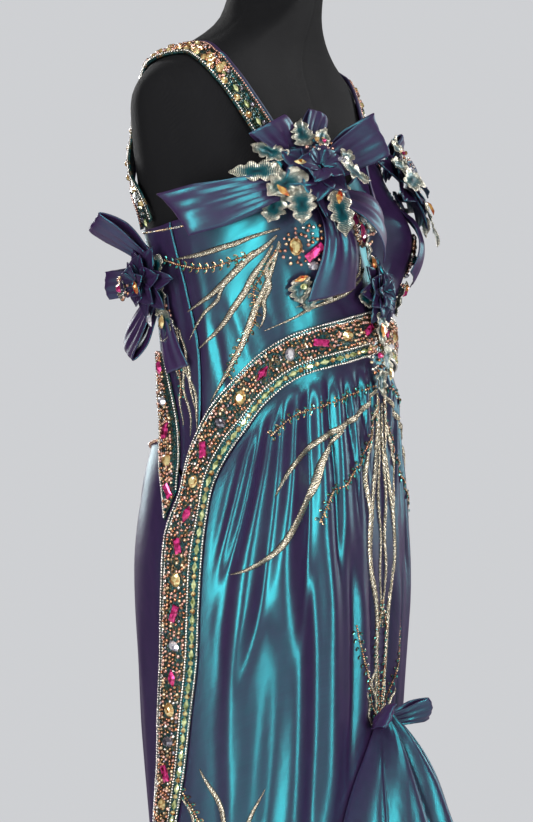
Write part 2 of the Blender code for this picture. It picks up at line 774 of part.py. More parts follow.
def build():
    for thing in list(bpy.data.objects):
        bpy.data.objects.remove(thing, do_unlink=True)
    group = bpy.data.collections.get(GROUP) or bpy.data.collections.new(GROUP)
    if group.name not in bpy.context.scene.collection.children:
        bpy.context.scene.collection.children.link(group)
    build_form()
    build_bodice()
    build_straps()
    build_skirt()
    build_flounce()
    build_bands()
    build_bows()
    build_rosettes()
    build_sprays()


build()
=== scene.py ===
"""Looks of a mermaid prom dress in shot taffeta on a limbless dress form.

A place on the gown is an angle round the figure in degrees, 0 at the centre front and
positive towards the wearer's right, and a height in metres. A lift is a distance out from
the figure, so the outer face of plain cloth is at lift 0. Sizes are in metres.
"""
import math

import bmesh
import bpy
import numpy as np
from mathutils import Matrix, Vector


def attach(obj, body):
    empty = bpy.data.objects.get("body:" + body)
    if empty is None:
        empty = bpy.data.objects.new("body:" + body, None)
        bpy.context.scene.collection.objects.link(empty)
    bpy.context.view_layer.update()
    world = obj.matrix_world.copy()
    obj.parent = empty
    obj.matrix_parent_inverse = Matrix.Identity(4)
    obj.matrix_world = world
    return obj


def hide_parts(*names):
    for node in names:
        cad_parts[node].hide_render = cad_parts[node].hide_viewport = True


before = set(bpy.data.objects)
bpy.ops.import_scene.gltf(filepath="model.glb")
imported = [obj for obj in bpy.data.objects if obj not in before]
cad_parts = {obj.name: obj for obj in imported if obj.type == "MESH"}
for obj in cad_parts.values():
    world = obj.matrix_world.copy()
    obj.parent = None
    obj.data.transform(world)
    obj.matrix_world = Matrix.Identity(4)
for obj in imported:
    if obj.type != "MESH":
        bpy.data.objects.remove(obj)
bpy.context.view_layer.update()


# The dress form: a padded limbless torso covered in black cotton jersey, on a steel pole and
# a turned foot that are sprayed satin black, with a cap of the same on the neck.
class Reading:
    """A shader value that adds, subtracts and multiplies as a number does."""

    def __init__(self, tree, socket):
        self.tree = tree
        self.socket = socket

    def worked(self, operation, first, second):
        made = self.tree.nodes.new("ShaderNodeMath")
        made.operation = operation
        for socket, value in zip(made.inputs, (first, second)):
            if isinstance(value, Reading):
                self.tree.links.new(value.socket, socket)
            else:
                socket.default_value = value
        return Reading(self.tree, made.outputs[0])

    def __add__(self, other):
        return self.worked("ADD", self, other)

    def __radd__(self, other):
        return self.worked("ADD", other, self)

    def __sub__(self, other):
        return self.worked("SUBTRACT", self, other)

    def __rsub__(self, other):
        return self.worked("SUBTRACT", other, self)

    def __mul__(self, other):
        return self.worked("MULTIPLY", self, other)

    def __rmul__(self, other):
        return self.worked("MULTIPLY", other, self)


class Finish:
    """A procedural material with one main shader, and the way to add nodes to it."""

    def __init__(self, name, **settings):
        self.material = bpy.data.materials.new(name)
        self.material.use_nodes = True
        self.tree = self.material.node_tree
        self.shader = self.tree.nodes["Principled BSDF"]
        self.end = self.tree.nodes["Material Output"]
        self.set(**settings)

    def set(self, **values):
        """Give the main shader's sockets their values, with _ for each space in a name."""
        for socket, value in values.items():
            self.feed(self.shader.inputs[socket.replace("_", " ")], value)

    def feed(self, socket, value):
        if isinstance(value, Reading):
            self.tree.links.new(value.socket, socket)
        else:
            socket.default_value = value

    def node(self, kind, settings=None, inputs=None, output=0):
        made = self.tree.nodes.new(kind)
        for name, value in (settings or {}).items():
            if name == "stops":
                while len(made.color_ramp.elements) < len(value):
                    made.color_ramp.elements.new(1.0)
                for stop, (place, colour) in zip(made.color_ramp.elements, value):
                    stop.position = place
                    stop.color = colour
            else:
                setattr(made, name, value)
        for name, value in (inputs or {}).items():
            self.feed(made.inputs[name], value)
        return Reading(self.tree, made.outputs[output])

    def blend(self, factor, first, second):
        return self.node("ShaderNodeMix", {"data_type": "RGBA"}, {0: factor, 6: first, 7: second}, 2)

    def maths(self, operation, *values, clamp=False):
        return self.node("ShaderNodeMath", {"operation": operation, "use_clamp": clamp},
                         dict(enumerate(values)))

    def at(self, output):
        """Coordinates of the object, or of the cloth's UV map, which is flat and in metres."""
        return self.node("ShaderNodeTexCoord", output=output)

    def stretched(self, scale):
        return self.node("ShaderNodeMapping", {}, {"Vector": self.at("UV"), "Scale": scale})

    def wave(self, place, direction, scale, distortion, detail_scale=1.0):
        return self.node("ShaderNodeTexWave", {"bands_direction": direction}, {
            "Vector": place, "Scale": scale, "Distortion": distortion, "Detail": 2.0,
            "Detail Scale": detail_scale}, "Fac")

    def cells(self, place, scale, output, part=None):
        """Random cells: the distance to each one's middle, or a part of its colour."""
        found = self.node("ShaderNodeTexVoronoi", {}, {"Vector": place, "Scale": scale}, output)
        if part:
            found = self.node("ShaderNodeSeparateColor", {}, {"Color": found}, part)
        return found

    def facing(self, blend):
        return self.node("ShaderNodeLayerWeight", {}, {"Blend": blend}, "Facing")

    def noise(self, place, scale, detail=3.0, roughness=0.5):
        return self.node("ShaderNodeTexNoise", {}, {
            "Vector": place, "Scale": scale, "Detail": detail, "Roughness": roughness})

    def raised(self, height, distance, strength=1.0):
        return self.node("ShaderNodeBump", {}, {
            "Height": height, "Distance": distance, "Strength": strength})


def stand_paint():
    finish = Finish("satin_black_paint", Base_Color=(0.012, 0.012, 0.013, 1.0), Metallic=0.0)
    place = finish.at("Object")
    peel = finish.noise(place, 420.0, 2.0)
    rubbed = finish.noise(place, 14.0, 4.0)
    finish.set(Roughness=0.30 + 0.22 * rubbed, Normal=finish.raised(peel, 0.0002))
    return finish.material


PAINT = stand_paint()
for node in ("form_neck_cap", "form_pole", "form_base"):
    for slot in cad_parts[node].material_slots:
        slot.material = PAINT

# The torso's jersey skin is drawn tight over the padding and sewn at the sides and the front.
# Its sections are those of a general figure that the gown is cut for.
FIGURE = (
    # height, half_width, centre_y, front_depth, back_depth, squareness
    (0.40, 0.138, 0.000, 0.122, 0.099, 2.10),
    (0.46, 0.140, 0.000, 0.124, 0.101, 2.10),
    (0.56, 0.144, 0.000, 0.129, 0.105, 2.10),
    (0.70, 0.154, 0.000, 0.136, 0.116, 2.10),
    (0.86, 0.167, 0.000, 0.140, 0.122, 2.15),
    (0.95, 0.151, 0.000, 0.138, 0.117, 2.15),
    (1.02, 0.128, 0.000, 0.137, 0.107, 2.15),
    (1.12, 0.134, 0.000, 0.131, 0.107, 2.20),
    (1.215, 0.148, 0.000, 0.112, 0.120, 2.30),
    (1.26, 0.155, 0.003, 0.098, 0.121, 2.40),
    (1.32, 0.170, 0.008, 0.085, 0.112, 2.60),
    (1.36, 0.178, 0.012, 0.075, 0.098, 2.70),
    (1.39, 0.164, 0.014, 0.068, 0.076, 2.60),
    (1.41, 0.128, 0.010, 0.064, 0.068, 2.40),
    (1.43, 0.090, 0.000, 0.060, 0.062, 2.20),
    (1.45, 0.067, -0.008, 0.058, 0.058, 2.05),
    (1.49, 0.057, -0.016, 0.057, 0.057, 2.00),
    (1.56, 0.055, -0.020, 0.056, 0.056, 2.00),
)
CUP_ACROSS = 0.088
CUP_HEIGHT = 1.212
CUP_REACH = 0.036
CUP_WIDTH = 0.058
CUP_ABOVE = 0.070
CUP_BELOW = 0.052
CLOTH = 0.0018
FORM_EASE = 0.0050
TORSO_LOW = 0.690
TORSO_HIGH = 1.560
FORM_SEAMS = (0.0, 55.0, 90.0, 130.0, 180.0)
FORM_SEAM_DEPTH = 0.0007
FORM_SEAM_WIDTH = 0.7


def between(rows, at):
    """Smooth values of a table at values of its first column."""
    table = np.array(rows, float)
    keys, values = table[:, 0], table[:, 1:]
    at = np.clip(np.asarray(at, float), keys[0], keys[-1])
    low = np.clip(np.searchsorted(keys, at, side="right") - 1, 0, len(keys) - 2)
    slopes = np.zeros_like(values)
    slopes[1:-1] = (values[2:] - values[:-2]) / (keys[2:] - keys[:-2])[:, None]
    span = (keys[low + 1] - keys[low])[..., None]
    part = (at - keys[low])[..., None] / span
    found = (
        (2 * part**3 - 3 * part**2 + 1) * values[low]
        + (part**3 - 2 * part**2 + part) * slopes[low] * span
        + (3 * part**2 - 2 * part**3) * values[low + 1]
        + (part**3 - part**2) * slopes[low + 1] * span
    )
    return found[..., 0] if values.shape[1] == 1 else np.moveaxis(found, -1, 0)


def mix(low, high, part):
    return low + (high - low) * part


def cup(across, height):
    spread = np.where(height > CUP_HEIGHT, CUP_ABOVE, CUP_BELOW)
    up = (height - CUP_HEIGHT) / spread
    side = (np.abs(across) - CUP_ACROSS) / CUP_WIDTH
    return CUP_REACH * np.exp(-side * side - up * up)


def figure_point(angle, height):
    """Places on the figure's smooth surface."""
    angle, height = np.broadcast_arrays(np.asarray(angle, float), np.asarray(height, float))
    half_width, centre, front, back, square = between(FIGURE, height)
    turn = np.radians(angle)
    side, ahead = np.abs(np.sin(turn)), np.cos(turn)
    depth = np.where(ahead > 0, front, back)
    reach = ((side / half_width) ** square + (np.abs(ahead) / depth) ** square) ** (-1 / square)
    x = -reach * np.sin(turn)
    y = centre - reach * ahead
    y = y - np.where(ahead > 0, cup(x, height) * np.clip(2.5 * ahead, 0.0, 1.0), 0.0)
    return np.stack((x, y, height), axis=-1)


def unit(vectors):
    return vectors / np.maximum(np.linalg.norm(vectors, axis=-1, keepdims=True), 1e-9)


def figure_normal(angle, height):
    around = figure_point(angle + 1.0, height) - figure_point(angle - 1.0, height)
    upward = figure_point(angle, height + 0.003) - figure_point(angle, height - 0.003)
    return unit(np.cross(upward, around))


def over(angle, height, lift):
    """Places that stand off the figure by a lift."""
    angle, height, lift = np.broadcast_arrays(angle, height, lift)
    return figure_point(angle, height) + figure_normal(angle, height) * lift[..., None]


def blank(columns, rows):
    """A flat grid of cloth: s and t of its points, each from 0 to 1, and its faces."""
    flat = bmesh.new()
    bmesh.ops.create_grid(flat, x_segments=columns, y_segments=rows, size=0.5)
    flat.verts.index_update()
    places = np.array([vert.co for vert in flat.verts])
    faces = np.array([[vert.index for vert in face.verts] for face in flat.faces])
    flat.free()
    return places[:, 0] + 0.5, places[:, 1] + 0.5, faces


def keep(name, mesh, finish, stands_for):
    """Show a finished mesh as a piece of the part."""
    made = bpy.data.objects.new(name, mesh)
    bpy.context.scene.collection.objects.link(made)
    mesh.materials.append(finish)
    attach(made, "root")
    if stands_for:
        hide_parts(*stands_for)
    return made


def cloth(name, pieces, wall, finish, stands_for=()):
    """Join draped blanks, each (columns, rows, place, flat size), and give them a wall inwards."""
    points, faces, maps = [], [], []
    start = 0
    for columns, rows, place, size in pieces:
        s, t, cells = blank(columns, rows)
        spots = place(s, t)
        first, second, third = (spots[cells[:, i]] for i in range(3))
        facing = np.cross(second - first, third - first) * (first * (1.0, 1.0, 0.0))
        if facing.sum() < 0.0:
            cells = cells[:, ::-1]
        points.append(spots)
        faces.append(cells + start)
        maps.append((np.stack((s, t), 1) * size)[cells].reshape(-1, 2))
        start += len(s)
    mesh = bpy.data.meshes.new(name)
    mesh.from_pydata(np.concatenate(points).tolist(), [], np.concatenate(faces).tolist())
    mesh.uv_layers.new(name="cloth").data.foreach_set("uv", np.concatenate(maps).ravel())
    mesh.shade_smooth()
    made = keep(name, mesh, finish, stands_for)
    if wall:
        solid = made.modifiers.new("wall", "SOLIDIFY")
        solid.thickness = wall
        solid.offset = -1.0
    return made


def black_jersey():
    finish = Finish("black_jersey", Specular_IOR_Level=0.25)
    place = finish.at("UV")
    knit = finish.wave(place, "X", 260.0, 1.5)
    wear_and_groove_shade = finish.noise(place, 9.0, 4.0)
    finish.set(Base_Color=finish.blend(wear_and_groove_shade, (0.002, 0.002, 0.003, 1.0), (0.005, 0.005, 0.006, 1.0)),
               Roughness=0.72 + 0.2 * wear_and_groove_shade, Normal=finish.raised(knit, 0.0003))
    return finish.material


def torso_place(s, t):
    """The torso from its underside, up its side and in over the neck."""
    low, high = 0.03, 0.985
    inside = np.clip(t / low, 0.0, 1.0) * np.clip((1.0 - t) / (1.0 - high), 0.0, 1.0)
    angle = 360.0 * (s - 0.5)
    height = mix(TORSO_LOW, TORSO_HIGH, np.clip((t - low) / (high - low), 0.0, 1.0))
    seams = sum(np.exp(-((np.abs(angle) - seam) / FORM_SEAM_WIDTH)**2) for seam in FORM_SEAMS)
    spot = over(angle, height, -CLOTH - FORM_EASE - FORM_SEAM_DEPTH * seams)
    middle = np.stack((0.0 * s, between(FIGURE, height)[1], height), axis=-1)
    return mix(middle, spot, inside[:, None])


torso = cloth("torso_jersey", [(96, 110, torso_place, (0.9, 0.87))], 0.0, black_jersey(),
              ["form_torso"])
welded = bmesh.new()
welded.from_mesh(torso.data)
bmesh.ops.remove_doubles(welded, verts=welded.verts, dist=0.00002)
bmesh.ops.dissolve_degenerate(welded, edges=welded.edges, dist=0.00001)
welded.to_mesh(torso.data)
welded.free()

# The bodice: shot taffeta, teal one way and purple the other, cut as a cupped front from side
# seam to side seam and two side panels that end at the open back. Its top edge is turned in.
SIDES = (("right", 1.0), ("left", -1.0))
SEAM = 0.0004
CORNER_ANGLE = 89.0
CORNER_HEIGHT = 0.945
OPEN_BACK_ANGLE = 121.0
BODICE_CROWDING = 1.3
WAIST = (
    # angle, height
    (0.0, 1.110), (19.0, 1.101), (44.0, 1.086), (59.5, 1.063), (71.5, 1.032),
    (81.0, 1.002), (87.0, 0.972), (89.0, 0.955),
)
SIDE_BACK_EDGE = (
    # angle, height
    (89.0, 0.958), (93.0, 0.962), (98.0, 0.974), (106.0, 0.998), (113.6, 1.030),
    (118.0, 1.058), (121.0, 1.090),
)
NECKLINE = (
    # angle, height
    (0.0, 1.265), (30.0, 1.295), (45.0, 1.288), (70.0, 1.240), (90.0, 1.222),
    (121.0, 1.216),
)
BODICE_SIDE_SEAM = (
    # height, angle
    (0.955, 90.5), (1.040, 91.3), (1.099, 91.5), (1.149, 95.6), (1.225, 100.5),
)
# Soft troughs and ridges that the cloth takes as it is drawn to the seams
BODICE_CREASES = (
    # start_angle, start_height, end_angle, end_height, width, depth
    (60.0, 1.190, 42.0, 1.120, 0.007, -0.0016),
    (54.0, 1.200, 34.0, 1.135, 0.006, 0.0014),
    (70.0, 1.170, 55.0, 1.100, 0.008, -0.0015),
    (78.0, 1.150, 66.0, 1.075, 0.007, 0.0013),
    (84.0, 1.120, 78.0, 1.030, 0.006, -0.0014),
    (92.0, 1.200, 86.0, 1.060, 0.005, 0.0009),
    (30.0, 1.150, 16.0, 1.118, 0.006, -0.0012),
    (22.0, 1.190, 6.0, 1.150, 0.006, 0.0012),
    (12.0, 1.230, 2.0, 1.180, 0.007, -0.0016),
    (66.0, 1.225, 80.0, 1.190, 0.006, -0.0010),
    (103.0, 1.190, 98.0, 1.090, 0.006, -0.0012),
    (112.0, 1.150, 106.0, 1.060, 0.006, 0.0011),
)
BODICE_FRONT_FLAT = (0.50, 0.24)
BODICE_SIDE_FLAT = (0.09, 0.24)
BODICE_HALF_WIDTH = 0.15
BODICE_SIDE_WIDTH = 0.06
SEAM_GROOVE = 0.0010
SEAM_GROOVE_WIDTH = 0.012
TOP_ROLL = 0.0010
TOP_ROLL_WIDTH = 0.03
ROUND_WAIST = 0.145
CREASE_BOW = 0.02
TEAL = (0.009, 0.190, 0.205, 1.0)
TEAL_DEEP = (0.006, 0.130, 0.150, 1.0)
PURPLE = (0.058, 0.018, 0.098, 1.0)
PURPLE_DEEP = (0.034, 0.011, 0.062, 1.0)
THREAD_PITCH = 0.00045
WAVE_PITCH = 0.314


def shot_taffeta(name, shine_share):
    """Purple threads one way give the body colour, and teal ones the other way the shine."""
    finish = Finish(name, Roughness=0.55)
    cut = finish.at("UV")
    slub = finish.noise(finish.stretched((22.0, 900.0, 1.0)), 1.0, 2.0)
    hung = finish.noise(finish.stretched((30.0, 7.0, 1.0)), 1.0, 1.5, 0.35)
    crush = finish.noise(cut, 90.0, 1.0, 0.4)
    threads = sum(finish.wave(cut, way, WAVE_PITCH / THREAD_PITCH, 0.6) for way in "XY")
    relief = hung * 0.0011 + crush * 0.00018 + slub * 0.000012 + threads * 0.000006
    normal = finish.raised(relief, 1.0)
    finish.set(Base_Color=finish.blend(crush, PURPLE_DEEP, PURPLE), Normal=normal)
    shine = finish.tree.nodes.new("ShaderNodeBsdfPrincipled")
    finish.feed(shine.inputs["Base Color"], finish.blend(slub, TEAL_DEEP, TEAL))
    finish.feed(shine.inputs["Roughness"], 0.27 + 0.06 * slub)
    finish.feed(shine.inputs["Normal"], normal)
    shine.inputs["Metallic"].default_value = 1.0
    both = finish.node("ShaderNodeMixShader", {}, {
        0: shine_share - 0.50 * finish.facing(0.5),
        1: Reading(finish.tree, finish.shader.outputs[0]),
        2: Reading(finish.tree, shine.outputs[0])})
    finish.feed(finish.end.inputs["Surface"], both)
    return finish.material


TAFFETA = shot_taffeta("shot_taffeta", 0.62)


def creased(rows, angle, height):
    """Lift of soft ridges and troughs, each along a short line, the same on both sides."""
    x, y = np.radians(np.abs(angle)) * ROUND_WAIST, height
    lift = 0.0
    for start_angle, start_height, end_angle, end_height, width, depth in rows:
        start = np.array((math.radians(start_angle) * ROUND_WAIST, start_height))
        line = np.array((math.radians(end_angle) * ROUND_WAIST, end_height)) - start
        length = np.linalg.norm(line)
        line = line / length
        along = ((x - start[0]) * line[0] + (y - start[1]) * line[1]) / length
        aside = (y - start[1]) * line[0] - (x - start[0]) * line[1]
        aside = aside + CREASE_BOW * length * np.sin(np.pi * along)
        ends = np.clip(np.minimum(along, 1.0 - along) * 3.0 + 0.3, 0.0, 1.0)
        lift = lift + depth * np.exp(-(aside / width)**2) * ends * ends * (3.0 - 2.0 * ends)
    return lift


def bodice_spot(s, t):
    """Spots on the right half: s is 0 at the centre front, 1 at the side seam, 2 at the back."""
    front = s <= 1.0
    angle = np.where(front, CORNER_ANGLE * s, mix(CORNER_ANGLE, OPEN_BACK_ANGLE, s - 1.0))
    low = np.where(front, between(WAIST, angle) + 2 * SEAM, between(SIDE_BACK_EDGE, angle))
    hold = np.where(front, s, 2.0 - s)
    height = mix(low, between(NECKLINE, angle), t**BODICE_CROWDING)
    return angle + (between(BODICE_SIDE_SEAM, height) - CORNER_ANGLE) * hold, height


def bodice_lift(angle, height, to_seam, t):
    groove = SEAM_GROOVE * np.exp(-(to_seam / SEAM_GROOVE_WIDTH)**2)
    roll = TOP_ROLL * np.exp(-((1.0 - t) / TOP_ROLL_WIDTH)**2)
    return creased(BODICE_CREASES, angle, height) - groove + roll


def bodice_front(s, t):
    half = 2.0 * s - 1.0
    angle, height = bodice_spot(np.abs(half), t)
    shy = 1.0 - SEAM / BODICE_HALF_WIDTH * np.abs(half)
    angle = np.copysign(angle * shy, half)
    return over(angle, height, bodice_lift(angle, height, 1.0 - np.abs(half), t))


front = cloth("front_of_bodice", [(180, 72, bodice_front, BODICE_FRONT_FLAT)], CLOTH, TAFFETA,
              ["bodice_front"])
for side, sign in SIDES:
    def bodice_side(s, t, sign=sign):
        angle, height = bodice_spot(mix(1.0 + SEAM / BODICE_SIDE_WIDTH, 2.0, s), t)
        return over(sign * angle, height, bodice_lift(angle, height, 4.0 * s, t))

    panel = cloth("side_of_bodice_" + side, [(40, 72, bodice_side, BODICE_SIDE_FLAT)], CLOTH,
                  TAFFETA, ["bodice_side_" + side])

# The skirt: a shot taffeta front that is pleated in under the waist band, so its folds fan
# down to the knee, and two plain backs that meet at the centre back seam.
WAIST_CROWDING = 1.7
SKIRT_FRONT_FLAT = (0.62, 0.66)
SKIRT_BACK_FLAT = (0.24, 0.58)
SKIRT_HALF_WIDTH = 0.25
SKIRT_GROOVE_WIDTH = 0.01
CORNER_SHARE = 0.03
SEAM_FOOT = 0.450
BACK_WAIST = (
    # angle, height
    (89.0, 0.945), (98.0, 0.965), (106.0, 0.990), (113.0, 0.998), (122.0, 0.998),
    (150.0, 0.990), (180.0, 0.985),
)
SKIRT_SIDE_SEAM = (
    # height, angle
    (0.400, 132.0), (0.450, 125.5), (0.490, 119.5), (0.545, 111.5), (0.601, 105.7),
    (0.657, 100.0), (0.713, 96.8), (0.768, 93.2), (0.822, 91.2), (0.866, 90.2),
    (0.909, 89.5), (0.945, 89.0),
)
FLOUNCE_SEAM = (
    # angle, height
    (0.0, 0.676), (5.0, 0.620), (11.0, 0.560), (22.0, 0.505), (45.0, 0.455),
    (90.0, 0.425), (130.0, 0.410), (180.0, 0.400),
)
SKIRT_FOLDS = (
    # top_angle, knee_angle, half_width_deg, depth, fades_at
    (4.0, 2.5, 4.5, 0.0040, 0.15),
    (12.0, 6.5, 4.5, 0.0055, 0.15),
    (20.0, 13.0, 4.8, 0.0065, 0.20),
    (28.0, 21.0, 5.0, 0.0070, 0.25),
    (36.0, 34.0, 5.5, 0.0075, 0.35),
    (44.5, 62.0, 6.0, 0.0078, 0.35),
    (54.0, 84.0, 6.0, 0.0070, 0.45),
    (64.0, 98.0, 5.0, 0.0050, 0.60),
)
FOLDS_TUCK = 0.005
FOLDS_START = 0.030
FOLDS_LENGTH = 0.43
FOLDS_EDGE = 80.5
FOLDS_EDGE_FADE = 8.0
FOLD_WIDENING = 0.7
FOLD_LEAST = 0.25
# Narrow creases between the folds, and long soft ones where the skirt hangs free
SKIRT_CREASES = (
    # start_angle, start_height, end_angle, end_height, width, depth
    (68.5, 0.995, 84.0, 0.840, 0.0070, -0.0040),
    (59.0, 1.030, 83.0, 0.800, 0.0070, -0.0052),
    (49.0, 1.048, 70.0, 0.740, 0.0066, -0.0048),
    (40.2, 1.056, 47.0, 0.790, 0.0050, -0.0036),
    (47.0, 1.050, 66.0, 0.800, 0.0100, 0.0040),
    (33.0, 1.064, 30.0, 0.860, 0.0036, -0.0032),
    (25.5, 1.070, 17.0, 0.900, 0.0026, -0.0026),
    (21.5, 1.070, 12.5, 0.930, 0.0024, -0.0024),
    (17.0, 1.073, 9.0, 0.950, 0.0024, -0.0024),
    (9.5, 1.075, 3.5, 0.960, 0.0024, -0.0022),
    (66.0, 0.860, 76.0, 0.560, 0.0180, 0.0056),
    (57.5, 0.880, 62.0, 0.540, 0.0140, -0.0058),
    (49.0, 0.860, 50.0, 0.530, 0.0150, 0.0050),
    (41.0, 0.900, 41.0, 0.560, 0.0110, -0.0052),
    (33.5, 0.880, 30.0, 0.600, 0.0110, 0.0044),
    (25.0, 0.900, 20.0, 0.640, 0.0060, -0.0040),
    (18.0, 0.860, 13.0, 0.680, 0.0080, 0.0034),
    (11.0, 0.860, 6.0, 0.700, 0.0050, -0.0028),
    (74.0, 0.800, 86.0, 0.560, 0.0110, -0.0034),
    (79.0, 0.740, 93.0, 0.500, 0.0120, 0.0032),
)
BACK_CREASES = (
    # start_angle, start_height, end_angle, end_height, width, depth
    (104.0, 0.900, 100.0, 0.720, 0.0080, 0.0020),
    (118.0, 0.820, 124.0, 0.520, 0.0120, 0.0024),
    (134.0, 0.760, 142.0, 0.470, 0.0140, 0.0026),
    (150.0, 0.830, 158.0, 0.500, 0.0130, 0.0024),
    (168.0, 0.760, 172.0, 0.460, 0.0110, 0.0022),
    (126.0, 0.960, 140.0, 0.900, 0.0060, -0.0014),
    (150.0, 0.950, 170.0, 0.900, 0.0060, -0.0014),
)
BAND_FRONT_EDGE = (
    # angle, height
    (0.25, 1.088), (19.6, 1.078), (43.6, 1.063), (58.6, 1.037), (68.4, 1.006),
    (75.4, 0.979), (80.2, 0.947), (81.7, 0.909),
)


def skirt_front_spot(s, t):
    """Spots on the right half of the front: t is 0 at the flounce seam and 1 at the waist."""
    top = between(WAIST, CORNER_ANGLE * s) - 2 * SEAM
    to_corner = (s - (1.0 - CORNER_SHARE)) / CORNER_SHARE
    top = np.where(to_corner > 0.0, mix(top, CORNER_HEIGHT, to_corner), top)
    low = between(FLOUNCE_SEAM, between(SKIRT_SIDE_SEAM, SEAM_FOOT) * s)
    height = mix(top, low, (1.0 - t)**WAIST_CROWDING)
    return between(SKIRT_SIDE_SEAM, np.minimum(height, CORNER_HEIGHT)) * s, height


def skirt_back_spot(s, t):
    """Spots on the right back: s is 0 at the side seam and 1 at the centre back."""
    top = between(BACK_WAIST, mix(CORNER_ANGLE, 180.0, s))
    low = between(FLOUNCE_SEAM, mix(between(SKIRT_SIDE_SEAM, SEAM_FOOT), 180.0, s))
    height = mix(top, low, (1.0 - t)**WAIST_CROWDING)
    side = between(SKIRT_SIDE_SEAM, np.minimum(height, CORNER_HEIGHT))
    return mix(side, 180.0, s), height


def skirt_fold(angle, height):
    """How far the folds stand out at spots of the front skirt."""
    far = np.abs(angle)
    edge = between(BAND_FRONT_EDGE, far) - FOLDS_TUCK
    part = (between(WAIST, np.minimum(far, CORNER_ANGLE)) - height) / FOLDS_LENGTH
    rise = np.clip((edge - height) / FOLDS_START, 0.0, 1.0)
    rise = rise * np.clip((FOLDS_EDGE - far) / FOLDS_EDGE_FADE, 0.0, 1.0)
    total = 0.0
    for top_angle, knee_angle, half_width, depth, fades_at in SKIRT_FOLDS:
        middle = mix(top_angle, knee_angle, np.minimum(part, 1.2))
        off = np.clip((far - middle) / (half_width * (1.0 + FOLD_WIDENING * part)), -1.0, 1.0)
        fade = np.where(part < fades_at, 1.0, np.maximum(FOLD_LEAST, 1.0 - (part - fades_at)))
        total = total + depth * fade * 0.5 * (1.0 + np.cos(np.pi * off))
    crease = creased(SKIRT_CREASES, angle, height)
    return (total + crease) * rise * rise * (3.0 - 2.0 * rise)


def skirt_front(s, t):
    half = 2.0 * s - 1.0
    angle, height = skirt_front_spot(np.abs(half), t)
    shy = 1.0 - SEAM / SKIRT_HALF_WIDTH * np.abs(half)
    angle = np.copysign(angle * shy, half)
    return over(angle, height, skirt_fold(angle, height))


skirt = cloth("front_of_skirt", [(212, 96, skirt_front, SKIRT_FRONT_FLAT)], CLOTH, TAFFETA,
              ["skirt_front"])
for side, sign in SIDES:
    def skirt_back(s, t, sign=sign):
        shy = SEAM / SKIRT_HALF_WIDTH
        angle, height = skirt_back_spot(mix(shy, 1.0 - shy, s), t)
        groove = sum(np.exp(-(far / SKIRT_GROOVE_WIDTH)**2) for far in (s, 1.0 - s))
        lift = creased(BACK_CREASES, angle, height) - SEAM_GROOVE * groove
        return over(sign * angle, height, lift)

    panel = cloth("back_of_skirt_" + side, [(60, 90, skirt_back, SKIRT_BACK_FLAT)], CLOTH,
                  TAFFETA, ["skirt_back_" + side])

# The flounce: a wide ring of the same taffeta, gathered to the skirt's edge at the knee, that
# springs out in deep waves to the floor and has a narrow rolled hem.
FLOUNCE_FLAT = (1.60, 0.52)
FLOUNCE_TOP_WIDTH = 0.3
HEM_HEIGHT = 0.012
HEM_RADIUS = 0.430
FLOUNCE_CROWDING = 1.6
FLOUNCE_FLARE = 0.85
FLOUNCE_WAVES = 16
WAVE_GROWTH = 0.8
FLOUNCE_WAVE_DEPTH = 0.034
KNEE_PUFF = 0.034
KNEE_PUFF_DROP = 0.040
KNEE_PUFF_WIDTH = 10.0
GATHERS = 90
GATHER_DEPTH = 0.0030
GATHER_FADE = 5.0
SEAM_HOLD = 9.0
RIPPLE_DEPTH = 0.0045
HEAD_FOLDS = 44.0
HEAD_FOLD_DEPTH = 0.0150
HEAD_WIDTH = 60.0
HEAD_FADE = 1.2
HEM_ROLL = 0.0016
HEM_ROLL_SHARE = 0.012


def from_axis(radius, turn, height):
    """Places at a radius from the gown's middle line, turned from the front."""
    return np.stack((-radius * np.sin(turn), -radius * np.cos(turn), height), axis=-1)


def flounce_place(run):
    """Places on the flounce: run is 0 at the centre front, 2 at the back and 4 in front again."""
    def place(s, t):
        at = run(s)
        sign = np.where((at < 0.0) | (at > 2.0), -1.0, 1.0)
        at = np.where(at > 2.0, 4.0 - at, np.abs(at))
        front_angle, front_seam = skirt_front_spot(np.minimum(at, 1.0), 0.0 * at)
        back_angle, back_seam = skirt_back_spot(np.maximum(at - 1.0, 0.0), 0.0 * at)
        angle = np.where(at <= 1.0, front_angle, back_angle)
        seam = np.where(at <= 1.0, front_seam, back_seam)
        top = over(angle, seam - 3 * SEAM, -CLOTH)
        spread = at * 90.0
        about = np.radians(spread)
        down = (1.0 - t)**FLOUNCE_CROWDING
        turn = np.radians(mix(angle, spread, np.minimum(1.0, FLOUNCE_CROWDING * down)))
        head = down / KNEE_PUFF_DROP
        radius = mix(np.hypot(top[:, 0], top[:, 1]), HEM_RADIUS, down**FLOUNCE_FLARE)
        radius += KNEE_PUFF * head * np.exp(1.0 - head - (spread / KNEE_PUFF_WIDTH)**2)
        radius += FLOUNCE_WAVE_DEPTH * np.cos(about * FLOUNCE_WAVES) * down**WAVE_GROWTH + CLOTH
        near_seam = np.minimum(1.0, SEAM_HOLD * down)
        gather = np.cos(about * GATHERS + 2.0 * np.sin(about * 13.0))
        radius += GATHER_DEPTH * gather * near_seam * np.exp(-GATHER_FADE * down)
        swirl = np.cos(about * HEAD_FOLDS + 2.2 * np.sin(about * 6.0))
        pull = near_seam * np.exp(-HEAD_FADE * down - (spread / HEAD_WIDTH)**2)
        radius += HEAD_FOLD_DEPTH * swirl * pull
        uneven = np.sin(about * 5.0 + 1.0) * np.sin(about * 11.0)
        radius += RIPPLE_DEPTH * uneven * down * (1.0 - down) * 4.0
        radius += HEM_ROLL * np.exp(-(t / HEM_ROLL_SHARE)**2)
        return from_axis(radius, turn * sign, mix(top[:, 2], HEM_HEIGHT, down))

    return place


